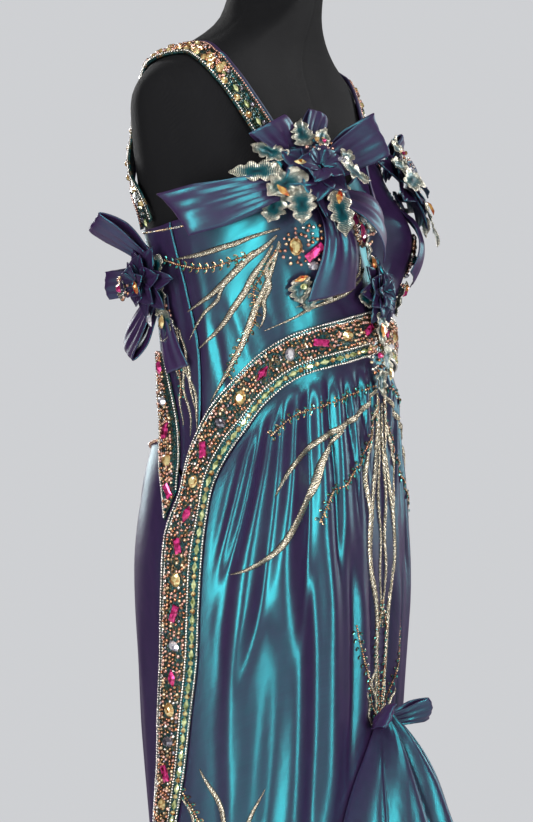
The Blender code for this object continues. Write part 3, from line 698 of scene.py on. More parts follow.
for name, start, end in (("front", -1.0, 1.0), ("back", 1.0, 3.0)):
    def run(s, start=start, end=end):
        shy = SEAM / FLOUNCE_TOP_WIDTH
        return mix(start + shy, end - shy, s)

    flounce = cloth(name + "_of_flounce", [(300, 40, flounce_place(run), FLOUNCE_FLAT)], CLOTH,
                    TAFFETA, ["flounce_" + name])

# The swag at the knee: a length of the taffeta pulled up through the knee bow and let fall over
# the head of the flounce in deep pressed folds, caught down by hand under the bow's knot.
SWAG = (
    # height, reach from the axis, half its angle
    (0.500, 0.246, 24.0), (0.560, 0.232, 25.5), (0.600, 0.216, 23.0),
    (0.640, 0.202, 18.0), (0.672, 0.188, 11.5), (0.696, 0.172, 6.0),
    (0.712, 0.158, 2.6),
)
SWAG_FLAT = (0.46, 0.24)
SWAG_HEM_RISE = 0.055
SWAG_OFF_BODY = 0.010
SWAG_TUCK = 0.006
SWAG_FOLDS = 4.5
SWAG_FOLD_DEPTH = 0.020


def swag_place(s, t):
    side = 2.0 * s - 1.0
    height = mix(SWAG[0][0] + SWAG_HEM_RISE * side**2, SWAG[-1][0], t)
    reach, half_angle = between(SWAG, height)
    angle = side * half_angle + 2.2 * (1.0 - t) * np.sin(7.0 * s + 3.0 * t)
    fold = np.abs(np.sin(np.pi * SWAG_FOLDS * s + 0.8 * np.sin(4.0 * t)))**0.75
    fold = fold * (0.75 + 0.25 * np.sin(11.0 * s + 2.0))
    body = np.linalg.norm(figure_point(angle, height)[..., :2], axis=-1) + SWAG_OFF_BODY
    radius = mix(reach, body, np.abs(side)**3) - SWAG_TUCK
    swell = np.minimum(1.0, 0.30 + 2.2 * (1.0 - t)) * (1.0 - side**6)
    radius = radius + SWAG_FOLD_DEPTH * (fold - 0.35) * swell
    return from_axis(radius, np.radians(angle), height)


swag = cloth("knee_swag", [(110, 44, swag_place, SWAG_FLAT)], CLOTH, TAFFETA)

# The beaded bands: a stiff backing that swoops from the centre front round to the side and on
# down the side seam, with one more up each edge of the open back. Each is covered with glass
# pearls in rose, copper and champagne round large foil-backed stones, all sewn on by hand.
LAID_ON = 0.0017
BACKING = 0.0014
BACKING_CROWN = 0.0006


def numbered(rows):
    """Rows with their own number in front, by which a table is read."""
    return tuple((float(number), *row) for number, row in enumerate(rows))


WAIST_BAND = numbered((
    # front_angle, front_height, back_angle, back_height
    (0.25, 1.088, 0.25, 1.132), (19.6, 1.078, 18.8, 1.125), (43.6, 1.063, 43.9, 1.110),
    (58.6, 1.037, 60.0, 1.090), (68.4, 1.006, 74.7, 1.058), (75.4, 0.979, 87.1, 1.026),
    (80.2, 0.947, 93.2, 0.990), (81.7, 0.909, 94.2, 0.945), (82.4, 0.866, 98.2, 0.905),
    (83.4, 0.823, 98.8, 0.850), (85.0, 0.769, 101.0, 0.780), (88.7, 0.714, 105.0, 0.716),
    (92.3, 0.659, 107.9, 0.658), (97.7, 0.602, 113.8, 0.600), (104.0, 0.545, 119.5, 0.542),
    (111.5, 0.490, 127.0, 0.487), (119.0, 0.444, 134.0, 0.441),
))
BACK_BAND = numbered((
    # front_angle, front_height, back_angle, back_height
    (95.8, 0.945, 99.8, 0.914), (97.4, 0.975, 104.5, 0.948), (101.5, 1.003, 114.0, 0.990),
    (106.0, 1.032, 120.5, 1.020), (109.9, 1.058, 124.0, 1.050), (114.0, 1.090, 122.5, 1.090),
))
PEARL = 0.0041
SEED = 0.0029
SKIRT_TOP = WAIST_BAND[0][2]
JEWEL_PITCH = 0.034
JEWEL_AT = 0.60
JEWEL_DEEP = 0.0068
JEWEL_CLEAR = 0.0082
MISSED_SHARE = 0.10
FIELD = (0.365, 0.47, 0.575, 0.68, 0.785, 0.875)
SEED_LINES = (0.015, 0.285, 0.905, 0.985)
SEQUIN_LINES = (0.065, 0.235, 0.945)
SEQUIN = (0.0032, 0.0032, 0.0012)
SEQUIN_PITCH = 0.0034
NAVETTE = (0.0124, 0.0060, 0.0046)
NAVETTE_AT = 0.150
NAVETTE_PITCH = 0.0175
BETWEEN_NAVETTES = (0.0056, 0.0056, 0.0044)
BESIDE_NAVETTES = (0.0030, 0.0030, 0.0012)
BESIDE_BY = 0.045
PEARL_LIFT = 0.0013
SEAT_SHARE = 0.35
JEWELS = (
    # kind, cut, length, width, slant in degrees
    ("ruby", "baguette", 0.0165, 0.0074, 24.0),
    ("amber", "oval", 0.0150, 0.0120, 0.0),
    ("ruby", "baguette", 0.0175, 0.0074, -18.0),
    ("clear", "oval", 0.0140, 0.0105, 60.0),
    ("ruby", "navette", 0.0190, 0.0090, 12.0),
    ("amber", "oval", 0.0160, 0.0125, 20.0),
    ("smoke", "oval", 0.0150, 0.0120, 90.0),
    ("ruby", "baguette", 0.0175, 0.0074, 30.0),
    ("amber", "oval", 0.0140, 0.0110, 0.0),
    ("ruby", "navette", 0.0200, 0.0092, -8.0),
)
FIELD_KINDS = {
    # how much of the field is each kind of round
    "rose": 0.30,
    "copper": 0.32,
    "champagne": 0.14,
    "silver": 0.06,
    "bronze": 0.14,
    "smoke": 0.04,
}


def gem(name, deep, bright, roughness, metallic):
    """Foil-backed glass or pearl: its colour shifts from stone to stone, with a painted glint in
    random cells and painted shade that darkens each stone towards its rim as it turns from the view.
    """
    finish = Finish(name, Metallic=metallic, Coat_Weight=0.8, Coat_Roughness=0.04)
    shift = finish.noise(finish.at("Object"), 170.0, 2.0)
    painted_glint = finish.cells(finish.at("Object"), 300.0, "Color", "Red")
    # Base colour: the stone's own tone from stone to stone, plus a painted glint, less painted shade
    # towards the rim
    tone_glint_and_rim_shade = finish.maths("ADD", 0.5 * shift + painted_glint - 0.06, -0.9 * finish.facing(0.4), clamp=True)
    finish.set(Base_Color=finish.blend(tone_glint_and_rim_shade, deep, bright), Roughness=roughness + 0.12 * shift)
    return finish.material


GEMS = {
    "rose": gem("rose_pearl", (0.30, 0.12, 0.09, 1.0), (0.80, 0.47, 0.37, 1.0), 0.16, 0.60),
    "copper": gem("copper_pearl", (0.16, 0.055, 0.025, 1.0), (0.60, 0.27, 0.14, 1.0), 0.16, 0.75),
    "champagne": gem("champagne_pearl", (0.38, 0.23, 0.12, 1.0), (0.92, 0.70, 0.44, 1.0), 0.14, 0.6),
    "silver": gem("silver_seed", (0.42, 0.38, 0.33, 1.0), (0.96, 0.92, 0.84, 1.0), 0.14, 0.8),
    "bronze": gem("bronze_seed", (0.080, 0.040, 0.016, 1.0), (0.40, 0.24, 0.10, 1.0), 0.18, 0.8),
    "teal": gem("teal_sequin", (0.003, 0.030, 0.038, 1.0), (0.012, 0.180, 0.200, 1.0), 0.18, 0.7),
    "bottle": gem("bottle_sequin", (0.006, 0.016, 0.010, 1.0), (0.045, 0.085, 0.045, 1.0), 0.2, 0.8),
    "olive": gem("olive_stone", (0.130, 0.170, 0.030, 1.0), (0.90, 0.96, 0.50, 1.0), 0.04, 0.4),
    "amber": gem("amber_stone", (0.34, 0.100, 0.004, 1.0), (1.00, 0.86, 0.42, 1.0), 0.04, 0.5),
    "ruby": gem("ruby_stone", (0.13, 0.000, 0.014, 1.0), (1.00, 0.07, 0.34, 1.0), 0.04, 0.45),
    "clear": gem("clear_stone", (0.22, 0.21, 0.28, 1.0), (1.00, 0.98, 1.00, 1.0), 0.03, 0.5),
    "smoke": gem("smoke_stone", (0.014, 0.014, 0.020, 1.0), (0.30, 0.28, 0.33, 1.0), 0.05, 0.7),
    "fire": gem("fire_stone", (0.55, 0.020, 0.008, 1.0), (1.00, 0.66, 0.20, 1.0), 0.04, 0.5),
    "sea": gem("sea_stone", (0.003, 0.050, 0.055, 1.0), (0.05, 0.50, 0.46, 1.0), 0.05, 0.6),
}


def cut_shapes():
    """Each cut as points and faces of unit half sizes, with the flat shading of cut stones."""
    shapes = {}

    def store(name, shape, smooth):
        bmesh.ops.triangulate(shape, faces=shape.faces)
        shape.verts.index_update()
        points = np.array([vert.co for vert in shape.verts])
        faces = np.array([[vert.index for vert in face.verts] for face in shape.faces])
        shapes[name] = (points, faces, smooth)
        shape.free()

    seed = bmesh.new()
    bmesh.ops.create_icosphere(seed, subdivisions=1, radius=1.0)
    store("seed", seed, True)
    pearl = bmesh.new()
    bmesh.ops.create_uvsphere(pearl, u_segments=6, v_segments=4, radius=1.0)
    store("pearl", pearl, True)
    oval = bmesh.new()
    bmesh.ops.create_cone(oval, cap_ends=True, segments=10, radius1=1.0, radius2=0.62, depth=1.0)
    bmesh.ops.inset_region(oval, faces=[f for f in oval.faces if f.normal.z > 0.9],
                           thickness=0.2, depth=0.22)
    store("oval", oval, False)
    pointed = bmesh.new()
    bmesh.ops.create_cone(pointed, cap_ends=True, segments=10, radius1=1.0, radius2=0.5, depth=1.0)
    for vert in pointed.verts:
        vert.co.y *= 1.0 - 0.55 * abs(vert.co.x)
    store("navette", pointed, False)
    baguette = bmesh.new()
    bmesh.ops.create_cube(baguette, size=2.0)
    for vert in baguette.verts:
        vert.co.z *= 0.5
    top = [e for e in baguette.edges if all(v.co.z > 0.0 for v in e.verts)]
    bmesh.ops.bevel(baguette, geom=top, offset=0.38, affect="EDGES", segments=1, profile=0.5,
                    material=-1)
    store("baguette", baguette, False)
    sequin = bmesh.new()
    bmesh.ops.create_cone(sequin, cap_ends=True, segments=7, radius1=1.0, radius2=0.5, depth=0.5)
    store("sequin", sequin, False)
    return shapes


CUTS = cut_shapes()


class Stones:
    """Stones of one trim, gathered by kind and joined into a single mesh."""

    def __init__(self):
        self.groups = []

    def sew(self, kind, cut, points, out, ahead, length, width, height):
        """Add stones at points, with their backs down, long way ahead."""
        points, out, ahead = (np.atleast_2d(each) for each in (points, out, ahead))
        out = np.broadcast_to(unit(out), points.shape)
        ahead = unit(ahead - out * (ahead * out).sum(1, keepdims=True))
        across = np.cross(out, ahead)
        shape, faces, smooth = CUTS[cut]
        sizes = [np.broadcast_to(each, len(points))[:, None, None] for each in (length, width, height)]
        placed = points[:, None, :] + 0.5 * (
            shape[None, :, 0:1] * sizes[0] * ahead[:, None, :]
            + shape[None, :, 1:2] * sizes[1] * across[:, None, :]
            + shape[None, :, 2:3] * sizes[2] * out[:, None, :])
        self.groups.append((kind, placed.reshape(-1, 3), faces, len(points), smooth))

    def join(self, name, stands_for=()):
        kinds = sorted({group[0] for group in self.groups})
        points, faces, indices, smooth = [], [], [], []
        start = 0
        for kind, placed, cells, count, soft in self.groups:
            step = len(placed) // count
            offsets = start + step * np.arange(count)
            faces.append((cells[None] + offsets[:, None, None]).reshape(-1, 3))
            indices += [kinds.index(kind)] * (len(cells) * count)
            smooth += [soft] * (len(cells) * count)
            points.append(placed)
            start += len(placed)
        mesh = bpy.data.meshes.new(name)
        mesh.from_pydata(np.concatenate(points).tolist(), [], np.concatenate(faces).tolist())
        made = keep(name, mesh, GEMS[kinds[0]], stands_for)
        for kind in kinds[1:]:
            mesh.materials.append(GEMS[kind])
        mesh.polygons.foreach_set("material_index", indices)
        mesh.polygons.foreach_set("use_smooth", smooth)
        mesh.update()
        return made


def spaced(path, low, high, pitch):
    """Values from low to high whose places along path(value) are a pitch apart."""
    fine = np.linspace(low, high, 900)
    steps = np.linalg.norm(np.diff(path(fine), axis=0), axis=1)
    length = np.concatenate(([0.0], np.cumsum(steps)))
    count = max(2, int(length[-1] / pitch))
    return np.interp((np.arange(count) + 0.5) * length[-1] / count, length, fine)


class Band:
    """The surface of one beaded band, from its front edge to its back edge."""

    def __init__(self, table, sign):
        self.table = table
        self.sign = sign
        self.last = table[-1][0]

    def spot(self, run, s):
        front_angle, front_height, back_angle, back_height = between(self.table, run)
        return self.sign * mix(front_angle, back_angle, s), mix(front_height, back_height, s)

    def place(self, run, s, lift):
        angle, height = self.spot(run, s)
        return over(angle, height, lift)

    def line(self, s, low, pitch):
        """Runs a pitch apart along the band."""
        return spaced(lambda run: self.place(run, s, 0.0), low, self.last, pitch)

    def sew(self, stones, kind, cut, run, s, sizes, slant=0.0, lift=None):
        angle, height = self.spot(run, s)
        out = figure_normal(angle, height)
        ahead = unit(self.place(run + 0.02, s, 0.0) - self.place(run - 0.02, s, 0.0))
        side = np.cross(out, ahead)
        turn = math.radians(slant)
        heading = ahead * math.cos(turn) + side * math.sin(turn)
        seat = LAID_ON + BACKING + SEAT_SHARE * sizes[2] if lift is None else lift
        stones.sew(kind, cut, over(angle, height, seat), out, heading, *sizes)


def bead_band(name, table, sign, seed, low, seed_lines, sequin_lines, navettes):
    """Cover a band with lines of seed beads, a stripe of navettes, pearls and large stones."""
    band = Band(table, sign)
    luck = np.random.default_rng(seed)
    stones = Stones()
    jewels = band.line(JEWEL_AT, low, JEWEL_PITCH)
    centres = band.place(jewels, JEWEL_AT, 0.0)
    for number, run in enumerate(jewels):
        kind, cut, length, width, slant = JEWELS[number % len(JEWELS)]
        band.sew(stones, kind, cut, np.array([run]), JEWEL_AT, (length, width, JEWEL_DEEP),
                 sign * slant)
    for lane, s in enumerate(FIELD):
        runs = band.line(s, low, PEARL)
        runs = runs + luck.normal(0.0, 0.004, len(runs)) + (lane % 2) * 0.03
        spots = band.place(runs, s, 0.0)
        gaps = np.linalg.norm(spots[:, None] - centres[None], axis=2).min(axis=1)
        runs = runs[(gaps > JEWEL_CLEAR) & (luck.random(len(runs)) > MISSED_SHARE)]
        kinds = luck.choice(tuple(FIELD_KINDS), len(runs), p=tuple(FIELD_KINDS.values()))
        sizes = luck.uniform(0.72, 1.16, len(runs)) * PEARL
        for kind in FIELD_KINDS:
            chosen = kinds == kind
            if chosen.any():
                wide = sizes[chosen]
                band.sew(stones, kind, "pearl", runs[chosen],
                         s + luck.normal(0.0, 0.018, chosen.sum()), (wide, wide, wide),
                         lift=LAID_ON + BACKING + PEARL_LIFT)
    for s in seed_lines:
        band.sew(stones, "silver", "seed", band.line(s, low, SEED), s, (SEED, SEED, SEED))
    for s in sequin_lines:
        band.sew(stones, "teal", "sequin", band.line(s, low, SEQUIN_PITCH), s, SEQUIN)
    if navettes:
        runs = band.line(NAVETTE_AT, low, NAVETTE_PITCH)
        band.sew(stones, "olive", "navette", runs, NAVETTE_AT, NAVETTE)
        halfway = 0.5 * (runs[1:] + runs[:-1])
        band.sew(stones, "amber", "oval", halfway, NAVETTE_AT, BETWEEN_NAVETTES)
        runs = band.line(NAVETTE_AT, low, BESIDE_NAVETTES[0])
        for offset in (-BESIDE_BY, BESIDE_BY):
            band.sew(stones, "teal", "sequin", runs, NAVETTE_AT + offset, BESIDE_NAVETTES)
    stones.join(name + "_beads")


def band_backing(name, table, sign, size):
    band = Band(table, sign)

    def place(s, t):
        crown = BACKING_CROWN * np.sin(np.pi * s)
        return band.place(band.last * t, s, LAID_ON + BACKING + crown)

    backing = cloth(name + "_backing", [(8, 260, place, size)], BACKING, BACKING_CLOTH,
                    [name])


def backing_cloth():
    """Dark teal organza, crowded with the small sequins that fill in between the beads."""
    finish = Finish("sequinned_backing", Metallic=0.55, Roughness=0.3)
    cut = finish.at("UV")
    colours = finish.node("ShaderNodeValToRGB", {"stops": (
        (0.0, (0.004, 0.020, 0.024, 1.0)), (0.55, (0.010, 0.075, 0.080, 1.0)),
        (0.8, (0.060, 0.070, 0.030, 1.0)), (1.0, (0.240, 0.120, 0.060, 1.0)))},
        {"Fac": finish.cells(cut, 480.0, "Color", "Green")})
    finish.set(Base_Color=colours, Normal=finish.raised(finish.cells(cut, 480.0, "Distance"), 0.0012))
    return finish.material


BACKING_CLOTH = backing_cloth()
for side, sign in SIDES:
    band_backing("waist_band_" + side, WAIST_BAND, sign, (0.050, 0.80))
    bead_band("waist_band_" + side, WAIST_BAND, sign, 11, 0.05, SEED_LINES, SEQUIN_LINES, True)
    band_backing("back_band_" + side, BACK_BAND, sign, (0.040, 0.19))
    bead_band("back_band_" + side, BACK_BAND, sign, 23, 0.1, (0.04, 0.96), (0.13, 0.24, 0.90), False)

# The shoulder straps: stiffened taffeta, bound in teal along the outer edge, with a line of rose
# beads beside it, a field of bottle green sequins, amber rounds and a copper cluster on top.
STRAP = 0.0020
STRAP_WIDTH = 0.030
STRAP_FLAT = (STRAP_WIDTH, 0.457)
STRAP_CROWN = 0.0008
STRAP_RUN = (
    # run, angle, height, lift
    (0.0, 53.5, 1.2855, -0.0010),
    (1.0, 57.5, 1.312, -0.0020),
    (2.0, 63.7, 1.346, -0.0045),
    (3.0, 69.7, 1.373, -0.0056),
    (4.0, 77.0, 1.394, -0.0058),
    (5.0, 89.0, 1.407, -0.0056),
    (6.0, 106.0, 1.403, -0.0054),
    (7.0, 123.0, 1.387, -0.0050),
    (8.0, 137.0, 1.358, -0.0044),
    (9.0, 142.0, 1.315, -0.0036),
    (10.0, 131.0, 1.270, -0.0020),
    (10.6, 120.0, 1.245, -0.0014),
    (11.0, 116.4, 1.2215, -0.0010),
)
BINDING = 0.0021
STRAP_SEED = (0.0028, 0.0028, 0.0028)
STRAP_SEED_PITCH = 0.0030
STRAP_SEQUIN = (0.0040, 0.0036, 0.0014)
STRAP_SEQUIN_PITCH = 0.0036
STRAP_SEQUIN_LANES = tuple(0.13 + 0.088 * lane for lane in range(8))
ROUNDS_PITCH = 0.021
STRAP_STONES = (
    # kind, cut, slip along, place across, sizes, lift
    ("amber", "oval", 0.0, 0.20, (0.0082, 0.0082, 0.0056), 0.0026),
    ("olive", "navette", 0.25, 0.40, (0.0100, 0.0048, 0.0036), 0.0022),
    ("smoke", "oval", 0.15, 0.62, (0.0060, 0.0060, 0.0036), 0.0020),
)
STRAP_CLUSTER = (3.0, 6.6)


class Strap:
    """The surface of one strap, from its inner edge at 0 to its bound outer edge at 1."""

    def __init__(self, sign):
        self.sign = sign
        self.last = STRAP_RUN[-1][0]

    def frame(self, run):
        """The strap's middle at a run, and its ways across, out and ahead."""
        angle, height, lift = between(STRAP_RUN, run)
        out = figure_normal(angle, height)
        point = over(angle, height, lift)
        before, after = (over(*between(STRAP_RUN, np.clip(run + slip, 0.0, self.last)))
                         for slip in (-0.05, 0.05))
        ahead = unit(after - before)
        flip = np.array((self.sign, 1.0, 1.0))
        return point * flip, unit(np.cross(ahead, out)) * flip, out * flip, ahead * flip

    def place(self, run, s, lift):
        point, across, out = self.frame(run)[:3]
        aside = np.broadcast_to(STRAP_WIDTH * (s - 0.5), run.shape)[..., None]
        return point + across * aside + out * np.broadcast_to(lift, run.shape)[..., None]

    def line(self, s, pitch):
        return spaced(lambda run: self.place(run, s, 0.0), 0.05, self.last - 0.05, pitch)

    def sew(self, stones, kind, cut, run, s, sizes, lift):
        out, ahead = self.frame(run)[2:]
        stones.sew(kind, cut, self.place(run, s, lift), out, ahead, *sizes)


for side, sign in SIDES:
    strap = Strap(sign)

    def strap_face(s, t, strap=strap):
        crown = STRAP_CROWN * np.sin(np.pi * s)
        return strap.place(strap.last * t, s, STRAP + crown)

    base = cloth("strap_base_" + side, [(10, 120, strap_face, STRAP_FLAT)], STRAP,
                 BACKING_CLOTH, ["strap_" + side])

    def binding(s, t, strap=strap):
        turn = 2.0 * np.pi * s
        point, across, out = strap.frame(strap.last * t)[:3]
        edge = STRAP_WIDTH * 0.5 - 0.0012
        flat = across * (edge + 1.6 * BINDING * np.cos(turn))[:, None]
        return point + flat + out * (STRAP * 0.6 + BINDING * np.sin(turn))[:, None]

    cloth("strap_binding_" + side, [(10, 120, binding, (0.012, 0.39))], 0.0, TAFFETA)
    luck = np.random.default_rng(5)
    stones = Stones()
    for s, kind in ((0.86, "rose"), (0.05, "silver")):
        strap.sew(stones, kind, "seed", strap.line(s, STRAP_SEED_PITCH), s, STRAP_SEED,
                  STRAP + 0.0012)
    for lane, s in enumerate(STRAP_SEQUIN_LANES):
        runs = strap.line(s, STRAP_SEQUIN_PITCH)
        runs = runs + luck.normal(0.0, 0.03, len(runs))
        strap.sew(stones, "bottle" if lane % 3 else "teal", "sequin", runs, s, STRAP_SEQUIN,
                  STRAP + 0.0009)
    rounds = spaced(lambda run: strap.place(run, 0.28, 0.0), 0.3, 10.8, ROUNDS_PITCH)
    for kind, cut, slip, s, sizes, lift in STRAP_STONES:
        strap.sew(stones, kind, cut, rounds + slip, s, sizes, STRAP + lift)
    many = luck.uniform(*STRAP_CLUSTER, 130)
    wide = luck.uniform(0.0034, 0.0050, 130)
    for kind, chosen, count, lift in (
            ("copper", slice(0, 60), 60, 0.0022), ("rose", slice(60, 110), 50, 0.0024)):
        strap.sew(stones, kind, "pearl", many[chosen], luck.uniform(0.12, 0.75, count),
                  (wide[chosen],) * 3, STRAP + lift)
    strap.sew(stones, "amber", "oval", many[110:], luck.uniform(0.15, 0.65, 20),
              (0.0075, 0.0075, 0.0055), STRAP + 0.0032)
    stones.join("strap_beads_" + side)

# The bows: wide ribbons of the gown's taffeta, folded into standing loops and flat ends and
# caught down at a knot on each bust, at the corners of the open back and at the knee.
RIBBON = 0.0012
BUST_KNOT = (47.7, 1.262)
FAR_KNOT = (-47.7, 1.262)
BACK_KNOT = (113.0, 1.165)
KNEE_KNOT = (0.0, 0.692)
LOOPS = [
    # name, knot, heading, reach, width, puff, lean, seat
    ("bust_bow_loop_outer", BUST_KNOT, -15.0, 0.112, 0.046, 0.032, 0.018, 0.0060),
    ("bust_bow_loop_upper", BUST_KNOT, 58.0, 0.060, 0.026, 0.018, 0.014, 0.0080),
    ("bust_bow_loop_top", BUST_KNOT, 107.0, 0.066, 0.024, 0.016, 0.010, 0.0080),
    ("bust_bow_loop_inner", BUST_KNOT, 160.0, 0.104, 0.048, 0.030, 0.036, 0.0050),
    ("far_bow_loop_outer", FAR_KNOT, 196.0, 0.070, 0.034, 0.020, 0.014, 0.0030),
    ("far_bow_loop_upper", FAR_KNOT, 118.0, 0.056, 0.024, 0.018, 0.014, 0.0080),
]
BACK_LOOPS = (
    # name, heading on the right side, reach, width, puff, lean, seat
    ("upper", 66.0, 0.076, 0.040, 0.026, 0.030, 0.0030),
    ("side", 2.0, 0.050, 0.030, 0.022, 0.026, 0.0030),
    ("lower", -60.0, 0.084, 0.042, 0.020, 0.014, 0.0030),
)
KNEE_LOOP = (32.0, 0.045, 0.027, 0.020, 0.018, 0.0060)
LOOP_START = 0.017
LOOP_PINCH = 0.40
LOOP_SPREAD = 1.4
LOOP_ROUND = 0.75
RIBBON_BEND = 0.0028
LOOP_LENGTH = 2.1
LOOP_FILL = 0.85
TAILS = [
    # name, knot, heading, reach, end_width, lean
    ("bust_bow_tail_inner", BUST_KNOT, 212.0, 0.112, 0.050, 0.030),
    ("bust_bow_tail_lower", BUST_KNOT, 254.0, 0.118, 0.054, 0.012),
    ("far_bow_tail_lower", FAR_KNOT, 288.0, 0.095, 0.044, 0.010),
]
BACK_TAIL = (-106.0, 0.098, 0.030, 0.008)
TAIL_START = 0.020
TAIL_ROOT_WIDTH = 0.014
TAIL_FILL = 0.72
KNOT_SEAT = 0.0005
KNOT_DEPTH = 0.0050
KNOT_PLEATS = 3.5
TAIL_PLEATS = 2.5
KNOT_PLEAT_DEPTH = 0.0034


def fold_near(angle, height):
    """The highest fold of the skirt about a spot, for what lies across it."""
    slips = [skirt_fold(angle + slip, height) for slip in (-2.5, -1.2, 0.0, 1.2, 2.5)]
    return np.where(height > SKIRT_TOP, 0.0, np.max(slips, axis=0))


def near(angle, height, aside, up, lift):
    """Places that lie aside and up, along the gown, from a knot on it."""
    at = height + up
    around = np.linalg.norm(figure_point(angle, at)[..., :2], axis=-1)
    spot = angle + np.degrees(aside / around)
    return over(spot, at, lift + fold_near(spot, at))


def headed(heading, run, across):
    """Steps aside and up that a run along a heading and a step across it make."""
    turn = math.radians(heading)
    return (run * math.cos(turn) + across * math.sin(turn),
            run * math.sin(turn) - across * math.cos(turn))


def ribbon(knot, heading, along):
    """Places on a ribbon from a knot: along(s, t) gives its run, lift and width."""
    def place(s, t):
        run, lift, width = along(s, t)
        aside, up = headed(heading, run, width * (s - 0.5))
        return near(*knot, aside, up, lift)

    return place


def loop_shape(reach, width, puff, lean, seat, number):
    def along(s, t):
        out = np.sin(np.pi * np.clip(t, 0.0, 1.0))**LOOP_ROUND
        top = 0.5 * (1.0 - np.cos(np.pi * t))
        lift = mix(KNOT_SEAT, seat, np.minimum(1.0, 0.06 + 2.5 * out))
        lift = lift + lean * out**1.6 + (KNOT_DEPTH + puff * out**1.3) * top
        gathered = np.exp(-2.3 * out) * np.minimum(1.0, 6.0 * out)
        lift = lift + KNOT_PLEAT_DEPTH * gathered * np.cos(2.0 * np.pi * KNOT_PLEATS * s + number)
        bend = RIBBON_BEND * np.sin(5.0 * s + 7.0 * t + number) * np.sin(np.pi * t)
        spread = mix(LOOP_PINCH, 1.0, np.minimum(1.0, LOOP_SPREAD * out))
        return mix(LOOP_START, reach, out), lift + bend * top, width * spread

    return along


def tail_shape(reach, wide, lean, number):
    def along(s, t):
        lift = mix(KNOT_SEAT, 0.0040, np.minimum(1.0, 4.0 * t))
        lift = lift + lean * np.sin(np.pi * 0.62 * t)**1.5
        gathered = np.exp(-2.2 * t) * np.minimum(1.0, 5.0 * t)
        lift = lift + KNOT_PLEAT_DEPTH * gathered * np.cos(2.0 * np.pi * TAIL_PLEATS * s + number)
        return mix(TAIL_START, reach, t), lift, mix(TAIL_ROOT_WIDTH, wide, t**0.8)

    return along


def mirrored(sign, heading):
    """A heading of the wearer's right side, or its mirror on the left."""
    return heading if sign > 0.0 else 180.0 - heading


# Ribbon is cut across the cloth, so its purple threads lead
RIBBON_TAFFETA = shot_taffeta("ribbon_taffeta", 0.46)
for side, sign in SIDES:
    knot = (sign * BACK_KNOT[0], BACK_KNOT[1])
    for name, heading, *sizes in BACK_LOOPS:
        LOOPS.append((f"back_bow_{side}_loop_{name}", knot, mirrored(sign, heading), *sizes))
    TAILS.append((f"back_bow_{side}_tail", knot, mirrored(sign, BACK_TAIL[0]), *BACK_TAIL[1:]))
for side, sign in SIDES:
    LOOPS.append((f"knee_bow_loop_{side}", KNEE_KNOT, mirrored(sign, KNEE_LOOP[0]), *KNEE_LOOP[1:]))
for number, (name, knot, heading, reach, width, puff, lean, seat) in enumerate(LOOPS):
    place = ribbon(knot, heading, loop_shape(reach, width, puff, lean, seat, number))
    size = (width, LOOP_LENGTH * reach)
    piece = cloth(name.replace("loop", "ribbon"), [(16, 56, place, size)], RIBBON,
                  RIBBON_TAFFETA, [name])
    LOOP_FILL * size[0] * size[1]
for number, (name, knot, heading, reach, wide, lean) in enumerate(TAILS):
    place = ribbon(knot, heading, tail_shape(reach, wide, lean, number))
    size = (wide, reach)
    piece = cloth(name.replace("tail", "end"), [(20, 30, place, size)], RIBBON,
                  RIBBON_TAFFETA, [name])
    TAIL_FILL * size[0] * size[1]

# The bow's flat end, cut square, that shows beyond the inner loop
FLAT_END = (0.030, 0.062)


def flat_end(s, t):
    aside = -0.092 - 0.026 * (s - 0.5) - 0.010 * t
    up = 0.020 - 0.060 * t + 0.006 * (s - 0.5)
    lift = 0.038 - 0.010 * t + 0.002 * np.sin(4.0 * s + 3.0 * t)
    return near(*BUST_KNOT, aside, up, lift)


piece = cloth("bust_bow_flat_end", [(8, 16, flat_end, FLAT_END)], RIBBON, RIBBON_TAFFETA)

# The rosettes: three rings of petals folded from narrow ribbon, each inside a larger one, sewn
# over the knots of the bust and back bows and at the waist. The folded edges stand up, and the
# points turn back a little.
WAIST_KNOT = (0.0, 1.150)
ROSETTES = (
    # name, knot, radius, rise, turned
    ("bust_rosette_right", BUST_KNOT, 0.031, 0.031, 12.0),
    ("bust_rosette_left", FAR_KNOT, 0.031, 0.031, 30.0),
    ("waist_rosette", WAIST_KNOT, 0.027, 0.018, 0.0),
    ("back_rosette_right", BACK_KNOT, 0.027, 0.030, 20.0),
    ("back_rosette_left", (-BACK_KNOT[0], BACK_KNOT[1]), 0.027, 0.030, 10.0),
)
PETAL_RINGS = (
    # petals, reach, width, lift, tilt
    (7, 1.42, 0.74, 0.50, 0.12),
    (6, 1.04, 0.86, 0.72, 0.14),
    (5, 0.66, 0.62, 0.92, 0.32),
)
PETAL_EDGE = 0.0046
PETAL_TURN = 0.35
PETAL_WALL = 0.0007


def petal(knot, heading, reach, width, lift, tilt, number):
    """Places on one petal: its sides stand up from a trough, and its point turns back."""
    def place(s, t):
        side = 2.0 * s - 1.0
        full = np.sin(np.pi * np.clip(0.04 + 0.96 * t, 0.0, 1.0)**0.85)
        across = 0.5 * width * side * np.maximum(full, 0.0)**0.8
        run = reach * mix(0.12, 1.0, t) + 0.06 * width * np.sin(6.0 * t + number) * side
        stand = lift + tilt * t - PETAL_TURN * tilt * t**4
        stand = stand + PETAL_EDGE * np.abs(side)**1.6 * full + 0.0008 * np.sin(9.0 * side + number)
        return near(*knot, *headed(heading, run, across), stand)

    return place


for name, knot, radius, rise, turned in ROSETTES:
    petals = []
    for ring, (count, reach, width, lift, tilt) in enumerate(PETAL_RINGS):
        for number in range(count):
            heading = turned + 360.0 * (number + 0.5 * ring) / count + 7.0 * math.sin(5.0 * number)
            size = (radius * width, radius * reach)
            place = petal(knot, heading, size[1], size[0], rise * lift, rise * tilt,
                          number + 3 * ring)
            petals.append((8, 9, place, size))
    made = cloth(name.replace("rosette", "petals"), petals, PETAL_WALL, TAFFETA, [name])
    radius * 0.8
    radius * 25.0
    15.0 * radius * radius

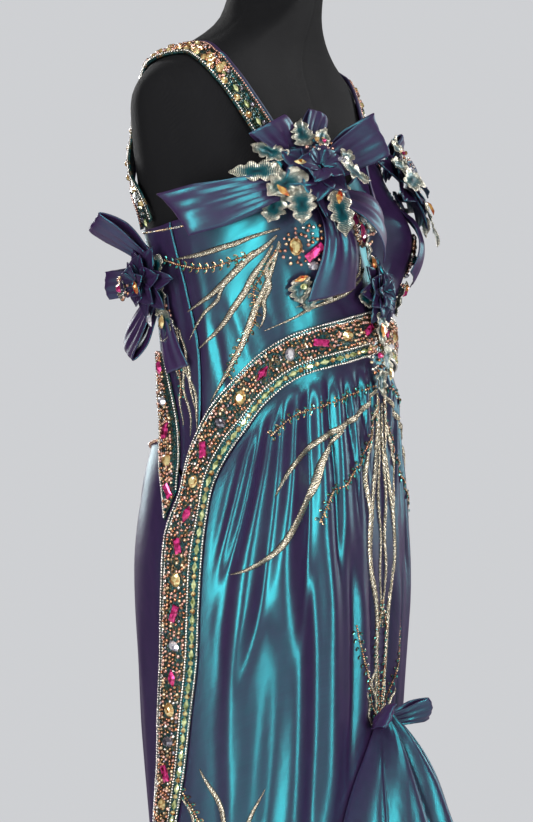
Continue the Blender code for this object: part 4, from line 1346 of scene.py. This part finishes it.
# The lace leaves and loose stones round each rosette: machine lace leaves with a silver cord
# round a teal middle, and large foil-backed stones among small pearls, sewn through the cloth.
BUST_LEAVES = (
    # aside, up, heading, length, width, lift
    (0.044, 0.006, 10.0, 0.032, 0.020, 0.020),
    (0.032, 0.024, 44.0, 0.026, 0.016, 0.022),
    (0.030, -0.012, -32.0, 0.034, 0.022, 0.026),
    (0.042, -0.030, -64.0, 0.030, 0.019, 0.014),
    (0.022, -0.032, -86.0, 0.030, 0.020, 0.026),
    (0.008, 0.037, 92.0, 0.030, 0.018, 0.030),
    (-0.010, 0.031, 122.0, 0.024, 0.016, 0.032),
    (-0.032, -0.010, 206.0, 0.038, 0.021, 0.036),
    (-0.034, 0.010, 164.0, 0.026, 0.016, 0.034),
    (-0.010, -0.040, -100.0, 0.034, 0.021, 0.024),
    (0.002, -0.110, -112.0, 0.030, 0.020, 0.005),
    (-0.026, -0.108, 232.0, 0.030, 0.020, 0.005),
    (-0.010, -0.120, 262.0, 0.024, 0.016, 0.005),
)
WAIST_LEAVES = (
    (0.006, 0.040, 78.0, 0.034, 0.019, 0.006),
    (-0.010, 0.080, 96.0, 0.032, 0.018, 0.006),
    (0.014, 0.098, 70.0, 0.024, 0.016, 0.006),
    (0.026, -0.006, 8.0, 0.030, 0.018, 0.008),
    (-0.028, -0.004, 172.0, 0.030, 0.018, 0.008),
    (0.006, -0.038, -84.0, 0.034, 0.020, 0.012),
    (-0.004, -0.072, -94.0, 0.034, 0.018, 0.010),
    (0.012, -0.094, -80.0, 0.026, 0.016, 0.008),
)
BACK_LEAVES = (
    (-0.012, -0.020, -78.0, 0.036, 0.018, 0.010),
    (-0.015, -0.048, -80.0, 0.034, 0.018, 0.008),
    (-0.018, -0.078, -76.0, 0.032, 0.016, 0.005),
    (0.020, -0.006, -20.0, 0.024, 0.017, 0.034),
    (-0.016, 0.014, 120.0, 0.028, 0.017, 0.012),
)
BUST_STONES = (
    # kind, cut, aside, up, heading, length, width, height, lift
    ("fire", "navette", 0.034, -0.020, 62.0, 0.018, 0.0080, 0.0060, 0.0345),
    ("fire", "navette", -0.008, -0.030, 110.0, 0.018, 0.0085, 0.0060, 0.0300),
    ("clear", "oval", -0.019, 0.002, 160.0, 0.014, 0.0105, 0.0065, 0.0375),
    ("amber", "navette", 0.018, 0.004, 20.0, 0.014, 0.0070, 0.0055, 0.0375),
    ("amber", "oval", -0.001, 0.027, 0.0, 0.0060, 0.0060, 0.0050, 0.0360),
    ("ruby", "oval", -0.008, 0.025, 0.0, 0.0050, 0.0050, 0.0045, 0.0360),
    ("amber", "oval", 0.0235, -0.067, 72.0, 0.019, 0.0135, 0.0080, 0.0050),
    ("ruby", "baguette", 0.0040, -0.072, 130.0, 0.022, 0.0090, 0.0075, 0.0050),
    ("sea", "oval", -0.0170, -0.072, 40.0, 0.0150, 0.0140, 0.0070, 0.0046),
    ("clear", "oval", -0.0020, -0.086, 0.0, 0.0125, 0.0105, 0.0070, 0.0046),
    ("fire", "navette", 0.0060, -0.098, 150.0, 0.016, 0.0070, 0.0060, 0.0080),
    ("olive", "oval", 0.0000, -0.106, 0.0, 0.0085, 0.0070, 0.0055, 0.0080),
    ("fire", "navette", -0.0200, -0.102, 46.0, 0.022, 0.0090, 0.0065, 0.0090),
    ("ruby", "navette", -0.0235, -0.105, 46.0, 0.014, 0.0060, 0.0070, 0.0090),
)
WAIST_STONES = (
    ("fire", "navette", 0.004, -0.040, 92.0, 0.017, 0.0075, 0.0060, 0.0140),
    ("ruby", "baguette", 0.008, 0.062, 130.0, 0.020, 0.0085, 0.0070, 0.0060),
    ("clear", "oval", -0.008, 0.078, 0.0, 0.0130, 0.0120, 0.0070, 0.0060),
    ("ruby", "oval", 0.030, 0.075, 60.0, 0.0150, 0.0110, 0.0070, 0.0060),
    ("amber", "oval", 0.016, 0.088, 30.0, 0.0110, 0.0090, 0.0065, 0.0060),
    ("fire", "navette", 0.006, 0.030, 80.0, 0.016, 0.0070, 0.0060, 0.0120),
    ("ruby", "oval", 0.010, -0.066, 0.0, 0.0080, 0.0070, 0.0060, 0.0120),
    ("amber", "navette", -0.006, -0.085, 95.0, 0.014, 0.0060, 0.0055, 0.0120),
    ("clear", "oval", -0.018, -0.056, 0.0, 0.0080, 0.0070, 0.0060, 0.0110),
)
BACK_STONES = (
    ("fire", "navette", -0.006, -0.006, 70.0, 0.018, 0.0080, 0.0065, 0.0340),
    ("amber", "navette", -0.014, -0.044, 100.0, 0.016, 0.0075, 0.0060, 0.0140),
    ("clear", "navette", 0.004, -0.040, 80.0, 0.018, 0.0085, 0.0065, 0.0160),
    ("ruby", "oval", 0.020, -0.004, 60.0, 0.0100, 0.0070, 0.0060, 0.0380),
    ("clear", "oval", -0.018, -0.080, 90.0, 0.0120, 0.0080, 0.0065, 0.0080),
)
LEAF_WALL = 0.0006
LEAF_LOBES = 4.0
LEAF_CORD = 0.0007
LEAF_CORD_WIDTH = 0.10


def corded_lace():
    """Silver thread in short rays round a deep teal heart of tulle, on a map from 0 to 1."""
    finish = Finish("corded_lace")
    cut = finish.at("UV")
    split = finish.node("ShaderNodeSeparateXYZ", {}, {"Vector": cut}, "X")
    rise = finish.node("ShaderNodeSeparateXYZ", {}, {"Vector": cut}, "Y")
    edge = finish.maths("ABSOLUTE", 2.0 * split - 1.0)
    ends = finish.maths("ABSOLUTE", 2.0 * rise - 1.0)
    out = finish.maths("MAXIMUM", edge, 0.98 * ends)
    twist = finish.noise(cut, 46.0)
    rays = finish.wave(cut, "Y", 9.0, 3.0, 2.0)
    rim = out + 0.34 * rays + 0.16 * twist
    silver = finish.maths("MULTIPLY_ADD", rim, 4.5, -3.25, clamp=True)
    thread = finish.maths("MULTIPLY_ADD", rays + 2.0 * twist, 1.5, -1.55, clamp=True)
    heart = finish.blend(out, (0.001, 0.010, 0.018, 1.0), (0.006, 0.210, 0.235, 1.0))
    cord = finish.blend(thread, (0.045, 0.050, 0.042, 1.0), (0.930, 0.880, 0.730, 1.0))
    finish.set(Base_Color=finish.blend(silver, heart, cord), Metallic=0.30 + 0.60 * silver,
               Roughness=0.22 + 0.16 * twist,
               Normal=finish.raised(silver + thread * silver, 0.0010))
    return finish.material


LACE = corded_lace()


def lace_leaf(knot, sign, row, number):
    """Places on a lobed leaf whose veins are raised and whose edge curls up."""
    angle, height = knot
    aside_at, up_at, heading, length, width, lift = row

    def place(s, t):
        side = 2.0 * s - 1.0
        lobes = 0.70 + 0.46 * np.abs(np.sin(np.pi * LEAF_LOBES * t + 0.5 * np.abs(side)))
        full = np.sin(np.pi * np.clip(0.05 + 0.93 * t, 0.0, 1.0)**0.8)
        across = 0.5 * width * side * np.maximum(full, 0.0)**0.6 * lobes
        run = length * (t - 0.5) * (1.0 + 0.05 * np.cos(3.0 * side))
        aside, up = headed(heading, run, across)
        rim = np.exp(-((np.abs(side) - 0.90) / LEAF_CORD_WIDTH)**2)
        cord = LEAF_CORD * (rim + np.exp(-(side / LEAF_CORD_WIDTH)**2))
        curl = 0.0030 * side**2 * np.sin(7.0 * t + number) + 0.0025 * (2.0 * t - 1.0)**2
        return near(sign * angle, height, sign * (aside_at + aside), up_at + up,
                    lift + cord + np.abs(curl))

    return place


def ornament(name, knot, sign, leaves, rows, scattered, seed):
    """Lace leaves, large stones and scattered pearls about one knot."""
    blanks = [(10, 26, lace_leaf(knot, sign, row, number), (1.0, 1.0))
              for number, row in enumerate(leaves)]
    lace = cloth(name + "_lace", blanks, LEAF_WALL, LACE)
    stones = Stones()
    angle, height = knot

    def sew(kind, cut, aside, up, heading, length, width, deep, lift):
        at = near(sign * angle, height, sign * aside, up, lift)
        step_aside, step_up = headed(heading, 0.003, 0.0)
        on = near(sign * angle, height, sign * (aside + step_aside), up + step_up, lift)
        across = np.linalg.norm(figure_point(angle, height + up)[:2])
        out = figure_normal(sign * (angle + math.degrees(aside / across)), height + up)
        stones.sew(kind, cut, at, out, on - at, length, width, deep)

    for row in rows:
        sew(*row)
    luck = np.random.default_rng(seed)
    for centre_aside, centre_up, reach_aside, reach_up, lift, count in scattered:
        taken = []
        for trial in range(8 * count):
            if len(taken) == count:
                break
            out_by, about = math.sqrt(luck.random()), 2.0 * math.pi * luck.random()
            aside = centre_aside + reach_aside * out_by * math.cos(about)
            up = centre_up + reach_up * out_by * math.sin(about)
            clear = all(math.hypot(aside - row[2], up - row[3]) > 0.42 * row[5] + 0.001
                        for row in rows)
            if clear and all(math.hypot(aside - x, up - y) > PEARL for x, y in taken):
                taken.append((aside, up))
                kind = ("rose", "copper", "champagne", "silver")[int(4 * luck.random()**1.5)]
                size = PEARL * luck.uniform(0.85, 1.25)
                sew(kind, "pearl", aside, up, 0.0, size, size, size, lift)
    stones.join(name + "_stones")


BUST_PEARLS = (
    # aside, up, reach_aside, reach_up, lift, count
    (0.004, -0.066, 0.034, 0.022, 0.0024, 90),
    (-0.002, 0.020, 0.014, 0.010, 0.0350, 10),
)
WAIST_PEARLS = (
    (0.010, 0.074, 0.034, 0.026, 0.0024, 80),
    (0.004, -0.070, 0.018, 0.024, 0.0050, 34),
)
BACK_PEARLS = (
    (0.018, -0.004, 0.014, 0.012, 0.0340, 12),
    (-0.014, -0.060, 0.009, 0.034, 0.0060, 26),
)
ornament("bust_right", BUST_KNOT, 1.0, BUST_LEAVES, BUST_STONES, BUST_PEARLS, 3)
ornament("bust_left", BUST_KNOT, -1.0, BUST_LEAVES[1:], BUST_STONES, BUST_PEARLS, 4)
ornament("waist", WAIST_KNOT, 1.0, WAIST_LEAVES, WAIST_STONES, WAIST_PEARLS, 6)
ornament("back_right", BACK_KNOT, 1.0, BACK_LEAVES, BACK_STONES, BACK_PEARLS, 7)
ornament("back_left", BACK_KNOT, -1.0, BACK_LEAVES, BACK_STONES, BACK_PEARLS, 8)

# The gold sprays: padded leaves and long tapering stems in pale gold and silver metal thread,
# couched over cord, that spread from the bows and rosettes across the bodice and skirt.
CORD = 0.0024
SPRAYS = {
    # angle, height, width: one leaf or stem to a row of places
    "bodice_spray": (
        ((62.0, 1.213, 0.003), (69.0, 1.206, 0.005), (78.0, 1.196, 0.008), (88.0, 1.188, 0.007),
         (100.0, 1.184, 0.002)),
        ((63.0, 1.206, 0.003), (68.0, 1.190, 0.008), (75.0, 1.170, 0.010), (83.0, 1.148, 0.008),
         (96.0, 1.130, 0.002)),
        ((64.0, 1.196, 0.003), (67.0, 1.170, 0.009), (71.0, 1.146, 0.010), (78.0, 1.118, 0.008),
         (91.0, 1.092, 0.002)),
        ((62.0, 1.200, 0.003), (62.5, 1.160, 0.008), (66.0, 1.120, 0.010), (74.0, 1.080, 0.008),
         (86.0, 1.036, 0.002)),
    ),
    "skirt_spray": (
        ((3.5, 1.050, 0.004), (14.0, 1.028, 0.008), (26.0, 1.010, 0.009), (40.0, 0.992, 0.008),
         (50.0, 0.966, 0.006), (56.0, 0.940, 0.002)),
        ((26.5, 1.006, 0.004), (36.0, 0.978, 0.009), (41.0, 0.945, 0.010), (49.0, 0.908, 0.010),
         (57.0, 0.882, 0.008), (66.0, 0.866, 0.005), (72.0, 0.861, 0.002)),
        ((3.2, 1.046, 0.004), (4.0, 0.985, 0.007), (9.5, 0.925, 0.009), (10.5, 0.872, 0.008),
         (5.5, 0.820, 0.008), (4.0, 0.760, 0.006), (2.5, 0.705, 0.002)),
    ),
}
STEMS = {
    "bodice_stems": (
        ((69.3, 1.191, 0.002), (74.0, 1.174, 0.005), (79.0, 1.150, 0.006), (85.8, 1.132, 0.005),
         (96.0, 1.101, 0.001)),
        ((61.5, 1.198, 0.002), (63.0, 1.177, 0.006), (62.0, 1.152, 0.007), (60.5, 1.132, 0.006),
         (62.8, 1.111, 0.001)),
        ((60.5, 1.109, 0.001), (44.5, 1.127, 0.004), (32.0, 1.141, 0.006), (18.0, 1.153, 0.006),
         (5.0, 1.176, 0.003)),
        ((48.0, 1.133, 0.001), (36.0, 1.143, 0.004), (24.0, 1.152, 0.005), (14.0, 1.168, 0.005),
         (8.0, 1.190, 0.002)),
        ((101.6, 1.111, 0.002), (99.6, 1.083, 0.004), (95.5, 1.045, 0.004), (90.8, 0.998, 0.001)),
        ((103.0, 1.114, 0.002), (102.4, 1.081, 0.004), (99.5, 1.039, 0.004), (95.3, 1.001, 0.001)),
        ((104.4, 1.111, 0.002), (105.2, 1.078, 0.004), (104.0, 1.045, 0.003), (101.0, 1.012, 0.001)),
        ((106.0, 1.120, 0.002), (103.0, 1.098, 0.005), (98.5, 1.066, 0.005), (93.0, 1.022, 0.001)),
    ),
    "skirt_stems": (
        ((2.5, 1.040, 0.002), (8.5, 1.000, 0.005), (12.0, 0.950, 0.006), (10.5, 0.890, 0.004),
         (9.5, 0.860, 0.001)),
        ((1.5, 1.035, 0.002), (2.0, 0.960, 0.005), (3.0, 0.900, 0.005), (1.5, 0.850, 0.004),
         (1.0, 0.800, 0.001)),
        ((12.4, 0.735, 0.001), (8.9, 0.712, 0.006), (2.5, 0.682, 0.003)),
        ((3.0, 0.775, 0.001), (5.0, 0.735, 0.005), (1.5, 0.690, 0.002)),
        ((86.2, 0.660, 0.001), (81.0, 0.636, 0.007), (76.0, 0.604, 0.008), (72.0, 0.570, 0.007),
         (71.0, 0.530, 0.004), (73.0, 0.505, 0.002)),
        ((99.0, 0.640, 0.001), (92.0, 0.616, 0.005), (85.0, 0.582, 0.006), (80.0, 0.545, 0.006),
         (78.0, 0.505, 0.002)),
        ((60.0, 0.640, 0.001), (66.0, 0.606, 0.006), (71.0, 0.570, 0.007), (75.0, 0.530, 0.006),
         (77.0, 0.500, 0.002)),
    ),
}


def metal_thread():
    """Flat metal thread laid across the padding, with painted shade in the grooves between the laid
    threads and their tops left pale, and more painted shade that darkens it where it turns in from the
    view.
    """
    finish = Finish("pale_gold_thread", Metallic=0.75)
    cut = finish.at("UV")
    laid = finish.wave(cut, "DIAGONAL", 190.0, 5.0, 1.5)
    tarnish = finish.noise(cut, 240.0)
    pale = finish.blend(tarnish, (0.50, 0.42, 0.27, 1.0), (1.00, 0.98, 0.88, 1.0))
    # Painted shade in the grooves between the laid threads; the threads' tops keep the pale metal
    # colour
    wear_and_groove_shade = finish.blend(0.20 + 0.80 * laid, (0.22, 0.16, 0.08, 1.0), pale)
    # Painted shade towards grazing, where the thread turns in from the view
    finish.set(Base_Color=finish.blend(finish.facing(0.35), wear_and_groove_shade, (0.10, 0.075, 0.035, 1.0)),
               Roughness=0.16 + 0.20 * tarnish, Normal=finish.raised(laid + tarnish, 0.0005))
    return finish.material


GOLD = metal_thread()


def gown_lift(angle, height):
    """Lift of the cloth's own face, on the bodice or on the skirt."""
    return np.where(height > SKIRT_TOP - 0.02,
                    creased(BODICE_CREASES, angle, height), skirt_fold(angle, height))


def along_route(route, t):
    """Angle, height, other columns and the run's direction on the cloth, along a route."""
    rows = numbered(route)
    last = rows[-1][0]
    values = between(rows, last * t)
    ahead = between(rows, np.minimum(last * t + 0.05, last))
    behind = between(rows, np.maximum(last * t - 0.05, 0.0))
    around = np.linalg.norm(figure_point(values[0], values[1])[..., :2], axis=-1)
    across = np.radians(ahead[0] - behind[0]) * around
    up = ahead[1] - behind[1]
    length = np.hypot(across, up)
    return values, around, across / length, up / length


def stem_place(route, sign, slim=1.0, sway=0.0):
    def place(s, t):
        (angle, height, width), around, across, up = along_route(route, t)
        width = width * slim
        angle = angle + sway * np.sin(np.pi * t) * np.sin(15.0 * t + 900.0 * route[1][1])
        side = width * (s - 0.5)
        angle = angle + np.degrees(side * up / around)
        height = height - side * across
        round_off = np.sqrt(np.clip(1.0 - (2.0 * s - 1.0)**2, 0.0, 1.0))
        full = 0.4 + 0.6 * np.minimum(1.0, width / 0.006)
        return over(sign * angle, height, gown_lift(angle, height) + CORD * full * round_off)

    return place


for side, sign in SIDES:
    for spray, leaves in SPRAYS.items():
        for number, route in enumerate(leaves, start=1):
            size = (0.008, 0.035 * len(route))
            leaf = cloth(f"{spray}_thread_{side}_{number}",
                         [(6, 48, stem_place(route, sign, 0.78, 0.4), size)],
                         0.0010, GOLD, [f"{spray}_{side}_{number}"])
    for group, routes in STEMS.items():
        blanks = [(6, 50, stem_place(route, sign, 0.85, 1.3), (0.005, 0.032 * len(route)))
                  for route in routes]
        cloth(f"{group}_{side}", blanks, 0.0008, GOLD)

# The bead vines: strings of bronze, copper and champagne beads that wander between the gold
# leaves, with pairs of small sea-green stones and bronze sequins for leaves of their own. Lines
# of seed beads and pearls finish the neck and the open back.
VINES = (
    # angle, height: one vine to a row of places
    ((70.0, 1.188), (75.8, 1.181), (85.6, 1.174), (96.5, 1.177), (107.0, 1.184)),
    ((62.5, 1.192), (64.5, 1.170), (66.7, 1.150), (64.5, 1.120), (71.9, 1.092), (77.5, 1.062)),
    ((4.2, 1.053), (18.0, 1.046), (32.3, 1.034), (47.9, 1.021), (57.5, 0.999)),
    ((1.9, 1.040), (10.7, 0.994), (24.3, 0.954), (33.3, 0.941), (38.8, 0.912)),
    ((19.4, 0.806), (15.5, 0.768), (9.0, 0.735), (1.5, 0.698)),
    ((-1.0, 0.830), (4.5, 0.790), (2.0, 0.745), (0.5, 0.700)),
    ((97.1, 0.643), (90.0, 0.618), (84.0, 0.585), (80.0, 0.545)),
    ((112.0, 1.108), (106.5, 1.096), (103.5, 1.070), (103.0, 1.040)),
)
VINE_BEAD = 0.0027
VINE_LEAF_PITCH = 0.0085
VINE_LEAF_TURN = 55.0
VINE_LEAF_FAR = 0.0038
VINE_LEAF_STEP = 0.002
EDGE_SEED = 0.0026
EDGE_PEARL = 0.0040
NECK_LINE = tuple((angle, between(NECKLINE, angle) - 0.0026) for angle in range(64, 122, 3))
BACK_LINE = tuple((angle, between(BACK_WAIST, angle) - 0.0030) for angle in range(104, 181, 4))


def along_spaced(route, sign, low, high, pitch):
    """Parts of a route, from low to high, that lie a pitch apart on the gown."""
    def path(t):
        angle, height = along_route(route, t)[0]
        return over(sign * angle, height, 0.0)

    return spaced(path, low, high, pitch)


def string(stones, route, sign, kinds, cut, size, luck):
    """Sew beads edge to edge along a route on the gown."""
    angle, height = along_route(route, along_spaced(route, sign, 0.0, 1.0, size))[0]
    picks = luck.integers(0, len(kinds), len(angle))
    lift = gown_lift(angle, height) + 0.42 * size
    for pick, kind in enumerate(kinds):
        at = picks == pick
        if at.any():
            out = figure_normal(sign * angle[at], height[at])
            points = over(sign * angle[at], height[at], lift[at])
            stones.sew(kind, cut, points, out, np.roll(out, 1, axis=1), size, size, size)


def vine(stones, route, sign, luck):
    string(stones, route, sign, ("bronze", "copper", "champagne"), "seed", VINE_BEAD, luck)
    pairs = along_spaced(route, sign, 0.06, 0.985, VINE_LEAF_PITCH)
    for turned, slip in ((VINE_LEAF_TURN, 0.01), (-VINE_LEAF_TURN, -0.01)):
        spots = np.clip(pairs + slip, 0.0, 1.0)
        (angle, height), around, across, up = along_route(route, spots)
        turn = math.radians(turned)
        lean_across = across * math.cos(turn) + up * math.sin(turn)
        lean_up = up * math.cos(turn) - across * math.sin(turn)
        spot = angle + np.degrees(VINE_LEAF_FAR * lean_across / around)
        level = height + VINE_LEAF_FAR * lean_up
        tip_spot = spot + np.degrees(VINE_LEAF_STEP * lean_across / around)
        for kind, cut, sizes, stand in (
                ("sea", "navette", (0.0046, 0.0024, 0.0022), 0.0016),
                ("bronze", "sequin", (0.0062, 0.0036, 0.0010), 0.0006)):
            lift = gown_lift(spot, level) + stand
            points = over(sign * spot, level, lift)
            tip = over(sign * tip_spot, level + VINE_LEAF_STEP * lean_up, lift)
            stones.sew(kind, cut, points, figure_normal(sign * spot, level), tip - points, *sizes)


for side, sign in SIDES:
    luck = np.random.default_rng(17)
    stones = Stones()
    for route in VINES:
        vine(stones, route, sign, luck)
    stones.join("vines_" + side)
    stones = Stones()
    string(stones, NECK_LINE, sign, ("silver", "champagne"), "seed", EDGE_SEED, luck)
    string(stones, BACK_LINE, sign, ("rose", "champagne"), "pearl", EDGE_PEARL, luck)
    stones.join("edge_pearls_" + side)

# The floor, the soft light and the camera, which stands to the front and right of the gown, at
# the height of its waist, so the picture shows the same side as the photo does.
FLOOR_RADIUS = 2.3
VIEW_AZIMUTH = -60.0
VIEW_DISTANCE = 3.2
VIEW_HEIGHT = 1.027
VIEW_ASIDE = 0.0017
SEEN_HEIGHT = 0.880
SENSOR = 36.0


def pale_floor():
    finish = Finish("pale_floor", Roughness=0.7)
    finish.set(Base_Color=finish.blend(
        finish.noise(finish.at("Object"), 3.0), (0.66, 0.66, 0.66, 1.0), (0.72, 0.72, 0.72, 1.0)))
    return finish.material


ground = bmesh.new()
bmesh.ops.create_circle(ground, cap_ends=True, segments=96, radius=FLOOR_RADIUS)
floor_mesh = bpy.data.meshes.new("floor")
ground.to_mesh(floor_mesh)
ground.free()
floor_mesh.materials.append(pale_floor())
floor = bpy.data.objects.new("floor", floor_mesh)
bpy.context.scene.collection.objects.link(floor)

ROOM = (0.30, 0.31, 0.34, 1.0)
ROOM_STRENGTH = 0.16
BACKDROP = (0.62, 0.63, 0.65, 1.0)
world = bpy.data.worlds.new("studio")
world.use_nodes = True
room = world.node_tree.nodes["Background"]
room.inputs["Color"].default_value = ROOM
room.inputs["Strength"].default_value = ROOM_STRENGTH
seen = world.node_tree.nodes.new("ShaderNodeBackground")
seen.inputs["Color"].default_value = BACKDROP
rays = world.node_tree.nodes.new("ShaderNodeLightPath")
both = world.node_tree.nodes.new("ShaderNodeMixShader")
for output, socket in (
        (rays.outputs["Is Camera Ray"], both.inputs[0]),
        (room.outputs[0], both.inputs[1]),
        (seen.outputs[0], both.inputs[2]),
        (both.outputs[0], world.node_tree.nodes["World Output"].inputs[0])):
    world.node_tree.links.new(output, socket)
bpy.context.scene.world = world
bpy.context.scene.view_settings.view_transform = "Standard"

SOFT_BOXES = (
    # azimuth, elevation, distance, width, height, watts
    (-88.0, 1.0, 2.6, 0.40, 2.0, 52.0),
    (-27.0, 1.0, 2.6, 0.30, 2.0, 38.0),
    (-60.0, 62.0, 2.8, 1.20, 1.0, 34.0),
    (60.0, 20.0, 2.8, 0.50, 1.8, 50.0),
    (150.0, 20.0, 2.8, 0.50, 1.8, 50.0),
)
AIM = Vector((0.0, 0.0, 0.95))
for azimuth, elevation, distance, width, height, watts in SOFT_BOXES:
    turn, rise = math.radians(azimuth), math.radians(elevation)
    away = Vector((math.sin(turn) * math.cos(rise), -math.cos(turn) * math.cos(rise), math.sin(rise)))
    lamp = bpy.data.lights.new("soft_box", "AREA")
    lamp.shape = "RECTANGLE"
    lamp.size = width
    lamp.size_y = height
    lamp.energy = watts
    shown = bpy.data.objects.new("soft_box", lamp)
    shown.location = AIM + away * distance
    shown.rotation_euler = (-away).to_track_quat("-Z", "Y").to_euler()
    bpy.context.scene.collection.objects.link(shown)

turn = math.radians(VIEW_AZIMUTH)
back = Vector((math.sin(turn), -math.cos(turn), 0.0))
right = Vector((math.cos(turn), math.sin(turn), 0.0))
lens = bpy.data.cameras.new("camera")
lens.sensor_width = SENSOR
lens.lens = SENSOR * VIEW_DISTANCE / SEEN_HEIGHT
camera = bpy.data.objects.new("camera", lens)
camera.location = back * VIEW_DISTANCE + right * VIEW_ASIDE + Vector((0.0, 0.0, VIEW_HEIGHT))
camera.rotation_euler = (-back).to_track_quat("-Z", "Y").to_euler()
bpy.context.scene.collection.objects.link(camera)
bpy.context.scene.camera = camera
